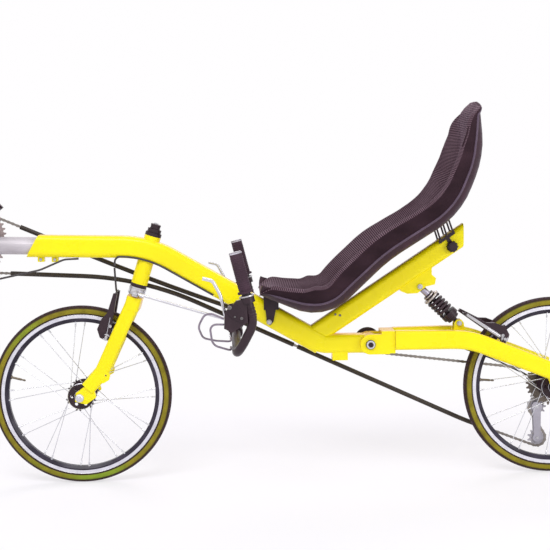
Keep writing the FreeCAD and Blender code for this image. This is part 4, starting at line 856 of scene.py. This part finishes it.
def cover_seams(stations):
    """Piping along the hem on both sides, thinner at its ends."""
    hem = Build()
    inside = [s for s in stations if s.run > 18 * MM and s.rest > 14 * MM]
    for sign in BOTH:
        line = [s.spot(sign * (s.hem() - 3.0), -4.0) for s in inside]
        hem.swept(line, 3.0, 12, True, lambda t: 0.35 + 0.65 * smoothed(min(t, 1 - t) * 30))
    hem.piece("seat_hem_piping", "frame", PIPING_PAINTED_HIGHLIGHT, "seat_pad")


seat_line = seat_stations()
seat_cover(seat_line)
cover_seams(seat_line)


# ------------------------------------------------------------------ wheels
NIPPLE = [(3.3, 0), (3.3, 1.2), (2.0, 2.0), (2.0, 11.5), (1.3, 12.5)]
SPOKE_SEAT = [(2.2, 0), (2.2, 4.5), (1.4, 6.0)]
VALVE = [(5.2, 0), (5.2, 2.2), (3.0, 2.8), (3.0, 27), (2.0, 27.5), (2.0, 31), (2.6, 31.5),
         (2.6, 36), (1.6, 38)]
HUB_CAP = [(8.8, 0.2), (11.6, 0.2), (11.6, 4.5), (11.0, 5.2)]
AXLE_NUT = [(10.6, 0.1), (10.6, 1.4), (9.9, 1.5, 6), (9.9, 7.6, 6), (8.3, 8.6, 6), (5.1, 8.6)]
AXLE_END = [(5.0, 7.0), (5.0, 12.6), (4.2, 13.4)]
RIM_SIDE = 10.55              # of a rim's edges from the middle plane
FLANGE_SIDES, FLANGE_RADII = (-31.0, -37.0), (33.2, 15.5)    # of the near flange's ridges
TREAD_ROWS = 120
# angle a block starts at after its row, its length, its lower and upper lean, and its height
TREAD_BLOCKS = ((0, 2.72, -13, -4.6, 0.5), (0, 2.72, -4.2, 4.2, 0.5), (0, 2.72, 4.6, 13, 0.5),
                (0.4, 1.9, 16, 31, 0.5), (-0.4, 1.9, -31, -16, 0.5),
                (0.9, 1.5, 33, 41, 0.4), (0.1, 1.5, -41, -33, 0.4))


def around(hub, radius, angle, side=0.0):
    """A place on a wheel: radius and side in mm, angle in degrees up from the rear."""
    return hub + ray(math.radians(angle)) * (radius * MM) + SIDE * (side * MM)


def hoop(hub, radius, side, count):
    return [around(hub, radius, 360 * i / count, side) for i in range(count + 1)]


def tread(end, hub):
    """A ribbed centre band cut by fine slots, and a row of low blocks on each shoulder."""
    build = Build()
    low_r = (TYRE_R - TYRE_HALF) / MM
    section = TYRE_HALF / MM
    for i in range(TREAD_ROWS):
        for shift, length, low, high, height in TREAD_BLOCKS:
            first = 360 * i / TREAD_ROWS + shift
            last = first + length
            corners = []
            for size in (section - 0.4, section + height):
                for angle, lean in ((first, low), (last, low), (last, high), (first, high)):
                    bend = math.radians(lean)
                    spot = around(hub, low_r + size * math.cos(bend), angle, size * math.sin(bend))
                    corners.append(build.bm.verts.new(spot))
            a, b, c, d, e, f, g, h = corners
            for face in ((e, f, g, h), (a, b, f, e), (b, c, g, f), (c, d, h, g), (d, a, e, h)):
                build.bm.faces.new(face)
    build.piece("tread_" + end, end + "_wheel", RUBBER, "tyre")


def spoke_ends(node, hub):
    """Outer and inner end of each spoke, found from the loose pieces of the spokes' mesh."""
    mesh = NODES[node].data
    parent = list(range(len(mesh.vertices)))

    def root(i):
        while parent[i] != i:
            parent[i] = parent[parent[i]]
            i = parent[i]
        return i

    for edge in mesh.edges:
        a, b = (root(i) for i in edge.vertices)
        parent[a] = b
    places = {}
    for v in mesh.vertices:
        key = tuple(round(c, 6) for c in v.co)
        places.setdefault(key, root(v.index))
        parent[root(v.index)] = root(places[key])
    groups = {}
    for v in mesh.vertices:
        groups.setdefault(root(v.index), []).append(v.co.copy())
    ends = []
    for points in groups.values():
        points.sort(key=lambda p: level(p - hub).length)
        quarter = max(3, len(points) // 4)
        inner = sum(points[:quarter], Vector()) / quarter
        outer = sum(points[-quarter:], Vector()) / quarter
        ends.append((outer, inner))
    return ends


def wheel_details(end, hub, valve_angle):
    """Tread, spoke nipples and seats, valve, and the rim's edges."""
    body = end + "_wheel"
    tread(end, hub)
    spokes = [(outer, inner, (inner - outer).normalized())
              for outer, inner in spoke_ends("spokes_" + end, hub)]
    turned_piece("nipples_" + end, body, SPOKE, "spoke",
                 [(outer - along * MM, along, NIPPLE, 12) for outer, _, along in spokes])
    turned_piece("spoke_seats_" + end, body, DARK_STEEL, "spoke",
                 [(inner + along * (0.5 * MM), -along, SPOKE_SEAT, 10)
                  for _, inner, along in spokes])
    foot = around(hub, RIM_LOW / MM, valve_angle)
    turned_piece("valve_" + end, body, BRASS, "steel", [(foot, hub - foot, VALVE, 16)])
    seams = Build()
    for sign in BOTH:
        seams.swept(hoop(hub, RIM_TOP / MM - 0.4, sign * RIM_SIDE, 96), 0.45, 6, False)
    seams.piece("rim_edges_" + end, body, STEEL, "rim")


def hub_details(end, hub, half_length):
    """Bearing caps and flange ridges."""
    body = end + "_wheel"
    turned_piece("hub_caps_" + end, body, STEEL, "steel",
                 pair(hub, 0, -half_length, 0, HUB_CAP, 32))
    ridge = Build()
    for side in FLANGE_SIDES:
        for radius in FLANGE_RADII:
            ridge.swept(hoop(hub, radius, side, 64), 0.7, 6, False)
    ridge.piece("hub_ridges_" + end, body, SILVER, "silver_alloy")


def axle_nuts(end, hub, body, half_length):
    turned_piece("axle_nuts_" + end, body, SILVER, "silver_alloy",
                 pair(hub, 0, half_length, 0, AXLE_NUT)
                 + pair(hub, 0, half_length, 0, AXLE_END, 20))


wheel_details("front", FRONT_HUB, 165.4)
wheel_details("rear", REAR_HUB, 175.0)
hub_details("front", FRONT_HUB, 46.2)
hub_details("rear", REAR_HUB, 63.7)
axle_nuts("front", FRONT_HUB, "fork", 58.2)
axle_nuts("rear", REAR_HUB, "frame", 74.7)


# ------------------------------------------------------------------ chain
PITCH = 12.7 * MM
CHAINLINE = 48 * MM
RING_TEETH, COG_TEETH, IDLER_TEETH, JOCKEY_TEETH = 42, 14, 15, 11
CHAIN_STEP = 0.002
PLATES = ((2.15, 3.85), (1.5, 3.7))    # outer and inner links: distance from the middle, height
PLATE_WAIST = 2.5
PLATE_THICKNESS = 0.6
PIN_HALF, ROLLER_HALF = 3.0, 1.45
PIN = [(1.7, 0), (1.7, 2 * PIN_HALF)]
ROLLER = [(3.6, 0), (3.6, 2 * ROLLER_HALF)]


def pitch_radius(teeth):
    return PITCH / (2 * math.sin(math.pi / teeth))


UPPER_JOCKEY = REAR_HUB + V(-25, 0, -68)
LOWER_JOCKEY = REAR_HUB + V(-24, 0, -152)
# centre, radius and sense of each circle the loop follows; the widest three are sags of its runs
CHAIN_CIRCLES = (
    (BB, pitch_radius(RING_TEETH), 1),
    (CROWN + V(-184, 0, -749.2), 0.800, -1),
    (LOWER_JOCKEY + V(155.6, 0, 881), 0.900, 1),
    (LOWER_JOCKEY, pitch_radius(JOCKEY_TEETH), 1),
    (UPPER_JOCKEY, pitch_radius(JOCKEY_TEETH), -1),
    (REAR_HUB, pitch_radius(COG_TEETH), 1),
    (PIVOT, pitch_radius(IDLER_TEETH), -1),
    (CROWN + V(2448, 0, 6074.5), 6.500, -1),
)
CASSETTE = 5                  # the circle the loop starts from
SAG_RADIUS = 0.5              # circles wider than this are sags
DRIVE_RUNS, RETURN_RUNS = range(3), range(3, 8)


def tangent(first, second):
    """End points of the straight run from one circle to the next, both followed in their sense."""
    (a, radius_a, sense_a), (b, radius_b, sense_b) = first, second
    line = b - a
    normal = (math.atan2(line.z, line.x) - math.pi / 2
              + math.asin((sense_a * radius_a - sense_b * radius_b) / line.length))
    out = ray(normal)
    return a + out * (sense_a * radius_a), b + out * (sense_b * radius_b)


def chain_line():
    """The whole loop as (point, circle or None, number of the run), from the cassette's upper
    tangent round the idler, the chainring, the return run and the jockey wheels."""
    count = len(CHAIN_CIRCLES)
    runs = [tangent(CHAIN_CIRCLES[i], CHAIN_CIRCLES[(i + 1) % count]) for i in range(count)]
    places = []
    for k in range(count):
        start, end = runs[(CASSETTE + k) % count]
        steps = max(2, int((end - start).length / CHAIN_STEP))
        places += [(start + (end - start) * (i / steps), None, k) for i in range(steps)]
        number = (CASSETTE + k + 1) % count
        centre, radius, sense = CHAIN_CIRCLES[number]
        after = runs[number][0]
        first = math.atan2(end.z - centre.z, end.x - centre.x)
        last = math.atan2(after.z - centre.z, after.x - centre.x)
        sweep = (last - first) % TAU if sense > 0 else -((first - last) % TAU)
        steps = max(2, int(abs(sweep) * radius / CHAIN_STEP))
        places += [(centre + ray(first + sweep * i / steps) * radius, number, k)
                   for i in range(steps)]
    return places


def link_outline(a, b, high):
    """Figure-of-eight outline of a chain plate from pin a to pin b."""
    along = (b - a).normalized()
    over = Vector((-along.z, 0, along.x))
    points = []
    for centre, way in ((b, 1), (a, -1)):
        for i in range(7):
            turn = math.radians(-75 + 25 * i)
            out = along * math.cos(turn) + over * math.sin(turn)
            points.append(centre + out * (way * high * MM))
        points.append((a + b) / 2 + over * (way * PLATE_WAIST * MM))
    return points


def chain_pins():
    """Pins at even steps of about the chain's pitch, as (place, circle or None, run)."""
    places = chain_line()
    marks = [0.0]
    for (a, _, _), (b, _, _) in zip(places, places[1:] + places[:1]):
        marks.append(marks[-1] + (b - a).length)
    count = 2 * round(marks[-1] / PITCH / 2)
    pins = []
    index = 0
    for i in range(count):
        goal = i * marks[-1] / count
        while marks[index + 1] < goal:
            index += 1
        a, circle, k = places[index]
        b = places[(index + 1) % len(places)][0]
        share = (goal - marks[index]) / (marks[index + 1] - marks[index])
        pins.append((a + (b - a) * share + SIDE * CHAINLINE, circle, k))
    return pins


def chain_links():
    """Plates, pins and rollers; the rollers are left out round the toothed wheels."""
    pins = chain_pins()
    for name, runs in (("chain_drive_run", DRIVE_RUNS), ("chain_return_run", RETURN_RUNS)):
        build = Build()
        for i, (pin, circle, k) in enumerate(pins):
            if k not in runs:
                continue
            following = pins[(i + 1) % len(pins)][0]
            y, high = PLATES[i % 2]
            for sign in BOTH:
                outline = [p + SIDE * (sign * y * MM) for p in link_outline(pin, following, high)]
                build.plate(outline, SIDE * sign, PLATE_THICKNESS)
            build.turned(pin - V(0, PIN_HALF, 0), SIDE, PIN, 8)
            if circle is None or CHAIN_CIRCLES[circle][1] > SAG_RADIUS:
                build.turned(pin - V(0, ROLLER_HALF, 0), SIDE, ROLLER, 10)
        ob = build.piece(name.replace("_run", "_links"), "frame", CHAIN, "chain_steel")
        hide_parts(name)


chain_links()


# ------------------------------------------------------------------ frame details
KNOB = [(12.8, 0), (13.6, 1.2), (13.6, 9.5), (11.5, 12.6), (5.0, 13.6)]
FLUTE = [(1.5, 0), (1.9, 0.8), (1.9, 7.6), (1.2, 9.0)]


def shock_details():
    """Neck sleeve, notched adjusting ring, lower collar ribs, and hex heads on both eye bolts."""
    along = (SHOCK_FOOT - SHOCK_TOP).normalized()

    def down(distance):
        return SHOCK_TOP + along * (distance * MM)

    sleeve = [(8.1, 0), (8.8, 1.2), (8.8, 20.0), (7.7, 20.8)]
    turned_piece("shock_neck_sleeve", "frame", NECK, "steel", [(down(11), along, sleeve, 32)])
    ring = Build()
    profile = [(15.2, -1.0), (21.0, -0.6), (21.9, 0.2), (21.9, 4.2), (21.6, 4.6)]
    ring.turned(down(41.0), along, profile, 48)
    a, b = frame_for(along)
    for turn in turns(12):
        out = a * math.cos(turn) + b * math.sin(turn)
        ring.block(down(43.2) + out * (21.7 * MM), (1.8, 4.2, 4.6), (out, along.cross(out), along))
    ring.turned(down(33), along, band(15.1, 16.2, 4.0, 0.8), 40)
    ring.piece("shock_adjusting_ring", "frame", RING_GREY, "steel", 0.2)
    rib = band(21.4, 22.2, 2.1, 0.5)
    turned_piece("shock_collar_ribs", "frame", BLACK_METAL, "black_metal",
                 [(down(distance), along, rib, 48) for distance in (104.5, 108.5, 112.5)])
    head = [(6.6, -0.6), (6.6, 0.6), (5.6, 0.8, 6), (5.6, 4.2, 6), (4.8, 5.0, 6), (1.8, 5.0)]
    turned_piece("shock_eye_bolts", "frame", STEEL, "steel",
                 pair(SHOCK_TOP, 0, 18.3, 0, head) + pair(SHOCK_FOOT, 0, 18.3, 0, head))


def frame_details():
    """Screws of the clamp tabs, the lower mast and the seat's front bracket, and the fluted knobs
    of the seat's rear stay."""
    clamp_screw = socket_head(3.9, 4.0)
    turned_piece("frame_bolts", "frame", STEEL, "steel",
                 pair(BEAM_FRONT, 41, 8.8, -35.5, clamp_screw)
                 + pair(BEAM_FRONT, 76.5, 8.8, -36.4, clamp_screw)
                 + pair(SEAT_PATH[0], 25, 33.8, -76, hex_head(5.2, 4.4)))
    mast_screw = socket_head(3.0, 2.0)
    turned_piece("mast_screws", "frame", DARK_STEEL, "steel",
                 pair(CROWN, 514.5, 20.8, -55.7, mast_screw)
                 + pair(CROWN, 526.3, 20.8, -58.2, mast_screw))
    x, y, z = -49, 22.0, -40
    knobs = pair(MAST_HEAD, x, y, z, KNOB, 40)
    for turn in turns(10):
        knobs += pair(MAST_HEAD + ray(turn) * (13.4 * MM), x, y + 1.4, z, FLUTE, 10)
    turned_piece("stay_knob_grips", "frame", BLACK_PLASTIC, "black_plastic", knobs)


def head_details():
    """Headset seams and cap bolt, and rings of the steering arm's clamp."""
    cap = [(12.4, 0), (13.0, 0.5), (13.0, 4.2), (11.2, 5.4), (4.0, 5.4)]
    turned_piece("headset_cap_rings", "fork", BLACK_METAL, "black_metal",
                 [(on_axis(455.6), AXIS, band(17.4, 18.1, 2.3, 0.5), 48),
                  (on_axis(465.2), AXIS, band(12.4, 13.2, 2.5, 0.5), 40),
                  (on_axis(472.6), AXIS, cap, 40)])
    clamp = band(21.9, 22.5, 1.8, 0.4)
    turned_piece("steering_clamp_rings", "fork", STEEL, "steel",
                 [(on_axis(477.8), AXIS, socket_head(5.6, 3.0)),
                  (on_axis(292.0), AXIS, clamp, 48), (on_axis(304.0), AXIS, clamp, 48)])


def link_details():
    """Lock nut and bolt head of both joints of the drag link."""
    eye = 9.5                 # radius of the link's ends
    low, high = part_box("drag_link")
    first = Vector((low.x, -50 * MM, high.z)) + V(eye, 0, -eye)
    last = Vector((high.x, -50 * MM, low.z)) + V(-eye, 0, eye)
    along = (last - first).normalized()
    nut = [(3.3, 0), (5.0, 0.6), (5.0, 7.0), (4.8, 7.2, 6), (4.8, 11.2, 6), (3.4, 11.6)]
    head = [(4.4, -0.6), (4.4, 0.4), (3.9, 0.6, 6), (3.9, 3.2, 6), (2.6, 3.6)]
    shapes = []
    for end, way in ((first, along), (last, -along)):
        shapes += [(end + way * (10.0 * MM), way, nut), (end + V(0, -8.4, 0), -SIDE, head)]
    turned_piece("drag_link_joints", "drag_link", STEEL, "steel", shapes)


shock_details()
frame_details()
head_details()
link_details()


# ------------------------------------------------------------------ handlebar details
GRIP_CAP = [(9.0, -0.8), (13.6, -0.4), (15.4, 1.2), (15.7, 3.4), (14.9, 4.6)]
LEVER_CLAMP = [(11.3, 0), (17.6, 0.5), (18.6, 1.4), (18.6, 4.0), (17.6, 5.0), (11.3, 5.4)]
LEVER_HALF = 11.0             # half width of a lever's body
LEVER_COVER = ((58, 46), (70, 32), (92, 22), (100, 28), (98, 50), (86, 62), (74, 68), (62, 66))
LEVER_SCREWS = ((64, 60, 5.0), (92, 34, 3.6), (76, 38, 2.6))


def grips(side, name):
    """Ribbed grip with a pale end cap, lever clamp ring and bands on the bar below it."""
    along = (BAR_ELBOW - BAR_TOP).normalized()

    def down(distance, profile, sides):
        place = BAR_TOP + V(0, side * BAR_SIDE, 0) + along * (distance * MM)
        return place, along, profile, sides

    rib = band(14.8, 15.6, 3.0, 0.6)
    turned_piece("grip_ribs_" + name, "handlebar", RUBBER, "grip",
                 [down(9 + i * 5.0, rib, 36) for i in range(16)]
                 + [down(91.5, band(15.0, 19.4, 4.6, 1.2), 40)])
    turned_piece("grip_cap_" + name, "handlebar", PALE_PLASTIC, "grip",
                 [down(-4.0, GRIP_CAP, 36)])
    turned_piece("lever_clamp_rings_" + name, "handlebar", STEEL, "silver_alloy",
                 [down(100.6, LEVER_CLAMP, 40)])
    turned_piece("bar_bands_" + name, "handlebar", BLACK_PLASTIC, "black_plastic",
                 [down(distance, band(11.0, 12.0, 3.8, 0.6), 32)
                  for distance in (133.0, 141.0, 149.0)])


def levers(side, name):
    """Screws and cover plates on both faces of a lever's body."""
    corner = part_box("brake_lever_" + name)[0]
    base = Vector((corner.x, 0, corner.z))
    screws = []
    covers = Build()
    for out in BOTH:
        face = side * BAR_SIDE + out * LEVER_HALF
        screws += [(base + V(x, face + out * 1.2, z), SIDE * out, socket_head(size, 2.2))
                   for x, z, size in LEVER_SCREWS]
        covers.plate([base + V(x, face, z) for x, z in LEVER_COVER], SIDE * out, 1.4)
    turned_piece("lever_screws_" + name, "handlebar", DARK_STEEL, "steel", screws)
    covers.piece("lever_covers_" + name, "handlebar", BLACK_PLASTIC, "black_plastic", 0.6)


def stem_details():
    turned_piece("stem_bolts", "handlebar", STEEL, "steel",
                 [(BAR_MIDDLE + V(-14.6, y, z), -X, socket_head(3.2, 4.4))
                  for y in (-13.0, 13.0) for z in (-8.5, 8.5)])
    turned_piece("stem_bands", "handlebar", BLACK_METAL, "black_metal",
                 [(BAR_MIDDLE + V(0, y, 0), SIDE, band(15.8, 16.9, 2.4, 0.5), 36)
                  for y in (-19.2, 16.8)])


for detail in (grips, levers):
    for side, name in LEFT_RIGHT:
        detail(side, name)
stem_details()


# ------------------------------------------------------------------ brakes
PAD_RADIUS = 199.5            # of the brake pads from the hub
PAD_GROOVES = (-17, -8, 2, 12, 20)
ARM_FACE = 12                 # from a stud's inner end to the outside of its arm
COIL_RADIUS, COIL_POINTS, POINTS_A_TURN, COIL_RISE = 7.6, 61, 20, 0.045
BOOT = [(2.0, 0), (3.6, 1.0), (3.0, 4.0), (4.0, 6.0), (3.2, 9.0), (4.0, 11.5), (3.0, 14.0),
        (3.4, 17.0), (1.8, 18.0)]
WIRE_END = [(1.2, 0), (3.2, 0.5), (3.2, 5.0), (2.2, 6.0)]


def brake_details(name, hub, boss, tip, pad_angle, half_width, body):
    """Pad holders with grooves, stud bolts, return springs, wire and rubber boot of one brake:
    boss is given from the hub, and tip, the arm's end, from the boss."""
    boss = hub + V(boss[0], 0, boss[1])
    tip = boss + V(tip[0], 0, tip[1])
    along = (tip - boss).normalized()
    radial = ray(math.radians(pad_angle))
    forward = Vector((-radial.z, 0, radial.x))
    pad = hub + radial * (PAD_RADIUS * MM)
    holders = Build()
    screws = []
    springs = Build()
    for sign in BOTH:
        axis = SIDE * sign
        axes = (forward, axis, radial)
        outer = axis * ((half_width + ARM_FACE) * MM)
        for shift in PAD_GROOVES:
            spot = pad + forward * (shift * MM) + axis * (21.5 * MM)
            holders.block(spot, (3.4, 6.6, 10.4), axes)
        holders.block(pad + axis * (25.2 * MM), (46, 1.8, 6.4), axes)
        screws += [(boss + outer, axis, hex_head(4.6, 4.6)),
                   (pad + outer - along * MM, axis, socket_head(4.4, 3.6)),
                   (boss + outer * 0.985, axis, [(9.0, 0), (9.0, 0.8), (7.6, 1.1)], 28)]
        coil = []
        for i in range(COIL_POINTS):
            turn = TAU * i / POINTS_A_TURN
            out = along * math.cos(turn) + axis.cross(along) * math.sin(turn)
            rise = axis * ((half_width - 2.6 - i * COIL_RISE) * MM)
            coil.append(boss + rise + out * (COIL_RADIUS * MM))
        springs.swept(coil, 0.7, 6)
        arm = [boss + axis * ((half_width + 12.8) * MM) + along * (d * MM) for d in (9, 30, 52)]
        springs.swept(arm, 0.8, 8)
    holders.piece("brake_pad_holders_" + name, body, RUBBER, "black_metal", 0.4)
    turned_piece("brake_screws_" + name, body, STEEL, "steel", screws)
    springs.piece("brake_springs_" + name, body, SPOKE, "steel")
    if name == "rear":
        arm_covers(boss, tip, half_width + ARM_FACE, body)
    top = tip - along * (9 * MM)
    reach = SIDE * ((half_width + 3) * MM)
    wire = Build().swept([top - reach, top, top + reach], 0.9, 8)
    wire.turned(top - reach * 0.96, SIDE, WIRE_END, 16)
    wire.piece("brake_wire_" + name, body, SPOKE, "cable")
    turned_piece("brake_boot_" + name, body, BLACK_PLASTIC, "black_plastic",
                 [(top + V(0, -9, 0), SIDE, BOOT, 18)])


def arm_covers(boss, tip, half_width, body):
    """Bright strips on the outside of the rear brake's arms."""
    along = (tip - boss).normalized()
    over = Vector((-along.z, 0, along.x)) * MM
    start = boss + along * (14 * MM)
    end = tip - along * MM
    outline = [start - over * 3.2, end - over * 3.4, end + over * 3.4,
               (boss + tip) / 2 + over * 4.6, start + over * 5.0]
    strips = Build()
    for sign in BOTH:
        strips.plate([p + V(0, sign * half_width, 0) for p in outline], SIDE * sign, 1.4)
    strips.piece("brake_arm_covers_rear", body, STEEL, "silver_alloy", 0.5)


brake_details("front", FRONT_HUB, (69.9, 152.7), (26, 113), 66, 30, "fork")
brake_details("rear", REAR_HUB, (-135.0, 131.0), (-98, 65), 135, 46, "frame")


# ------------------------------------------------------------------ drivetrain details
RING_BOLTS, IDLER_BOLTS = 55, 22           # radii of the bolt circles
TEETH, TOOTH_STEP, TOOTH_HEIGHT = 10, 8, 3.4
CAGE_REACH, CAGE_HALF = 42, 10.9           # pedal cage: plates from the axle, half height


def crank_details():
    """Chainring bolts, spindle caps and pedal axle ends."""
    shapes = []
    for turn in turns(5):
        spot = BB + ray(turn + TAU / 4) * (RING_BOLTS * MM)
        shapes += [(spot + V(0, 55.2, 0), SIDE, socket_head(5.2, 2.0)),
                   (spot + V(0, 40.8, 0), -SIDE, [(4.6, 0), (4.6, 1.0), (3.6, 1.6)], 16)]
    cap = [(11.5, -0.2), (11.5, 1.2), (9.6, 2.4), (5.0, 2.6, 6), (5.0, 1.4, 6)]
    shapes += pair(BB + V(0, 1, 0), 0, 75, 0, cap, 36)
    axle_head = [(7.4, -0.2), (7.4, 0.8), (4.2, 1.0, 6), (4.2, 0.2, 6)]
    axle_tip = [(5.6, -0.2), (5.6, 1.2), (4.0, 2.0)]
    for side, inner, outer in ((1, 62.0, 168.0), (-1, 60.0, 166.0)):
        end = BB + V(0, 0, -CRANK_LENGTH * side)
        shapes += [(end + V(0, side * inner, 0), SIDE * -side, axle_head),
                   (end + V(0, side * outer, 0), SIDE * side, axle_tip, 20)]
    turned_piece("crank_bolts", "crank", STEEL, "steel", shapes)


def pedal_details(name, side, low):
    """Gripping teeth along the cage's plates, rivets and barrel bands."""
    centre = BB + V(0, 0, -CRANK_LENGTH * side)
    teeth = Build()
    for i in range(TEETH):
        for x in (-CAGE_REACH, CAGE_REACH):
            for way in BOTH:
                y = side * (low + 6 + i * TOOTH_STEP)
                spot = centre + V(x - 1.5, y, way * CAGE_HALF)
                top = way * TOOTH_HEIGHT
                tooth = ((-3.0, 0), (3.0, 0), (1.2, top), (-1.2, top))
                teeth.plate([spot + V(0, y, z) for y, z in tooth], X, 3.0)
    for sign in BOTH:
        for y in (low + 5, low + 79):
            teeth.turned(centre + V(sign * 44.2, side * y, 0), X * sign, socket_head(3.0, 1.6))
    teeth.piece(name + "_teeth", name, STEEL, "steel")
    turned_piece(name + "_bands", name, BLACK_METAL, "black_plastic",
                 [(centre + V(0, side * y - 1, 0), SIDE, band(11.8, 12.9, 3.0, 0.6), 32)
                  for y in (low + 10, low + 26, low + 58, low + 74)])


def rear_drive_details():
    """Cassette lockring, jockey bolts, derailleur screws, housing ribs and idler screws."""
    ring = Build()
    profile = [(11.4, 0), (17.2, 0), (17.2, 1.4), (15.4, 2.6), (11.4, 2.6)]
    ring.turned(REAR_HUB + V(0, 57.6, 0), SIDE, profile, 36)
    for out in (ray(turn) for turn in turns(12)):
        spot = REAR_HUB + V(0, 60.0, 0) + out * (14.4 * MM)
        ring.block(spot, (3.0, 1.2, 1.8), (out, SIDE, SIDE.cross(out)))
    ring.piece("cassette_lockring", "rear_wheel", STEEL, "steel")
    jockey_bolt = hex_head(4.0, 3.2)
    bolts = [(LOWER_JOCKEY + V(0, 54, 0), SIDE, jockey_bolt),
             (LOWER_JOCKEY + V(0, 42, 0), -SIDE, jockey_bolt),
             (UPPER_JOCKEY + V(0, 42, 0), -SIDE, jockey_bolt),
             (UPPER_JOCKEY + V(0, 87, 0), SIDE, socket_head(6.2, 2.6)),
             (REAR_HUB + V(8, 90, -27), SIDE, socket_head(6.6, 3.0))]
    bolts += [(REAR_HUB + V(x, 87, z), SIDE, socket_head(2.2, 1.4))
              for x, z in ((-5, -36), (-7, -43), (-9, -50))]
    turned_piece("derailleur_bolts", "frame", STEEL, "steel", bolts)
    turned_piece("derailleur_ribs", "frame", DARK_STEEL, "steel",
                 [(UPPER_JOCKEY + V(0, y, 0), SIDE, band(11.3, 12.2, 2.4, 0.5), 36)
                  for y in (57.0, 60.5, 64.0)]
                 + [(REAR_HUB + V(8, y, -27), SIDE, band(10.9, 11.8, 2.4, 0.5), 32)
                    for y in (76.5, 84.0)])
    turned_piece("idler_screws", "frame", STEEL, "steel",
                 [(PIVOT + ray(turn) * (IDLER_BOLTS * MM) + V(0, 43.1, 0), -SIDE,
                   socket_head(2.6, 1.6)) for turn in turns(5)])


def pivot_details():
    """Pale washers and hexagon ends of the swing arm's axle."""
    middle = PIVOT + V(0, 8, 0)
    washer = [(10.8, -0.2), (10.8, 1.0), (8.2, 1.4)]
    head = [(7.4, 1.0, 6), (7.4, 4.0, 6), (6.4, 5.0, 6), (3.0, 5.0), (3.0, 3.6)]
    turned_piece("pivot_washers", "frame", SILVER, "silver_alloy",
                 pair(middle, 0, 49, 0, washer, 36))
    turned_piece("pivot_heads", "frame", BLACK_METAL, "black_metal", pair(middle, 0, 49, 0, head))


def front_derailleur_details():
    post = BB + V(52, 0, 82)
    turned_piece("front_derailleur_bolts", "frame", STEEL, "steel",
                 [(post + V(0, -18.6, 7), -SIDE, socket_head(3.6, 3.6)),
                  (post + V(1, 40, 16), UP, socket_head(3.0, 2.4)),
                  (post + V(1, 28, 16), UP, socket_head(3.0, 2.4))])


crank_details()
pedal_details("pedal_right", 1, 82.0)
pedal_details("pedal_left", -1, 80.0)
rear_drive_details()
pivot_details()
front_derailleur_details()
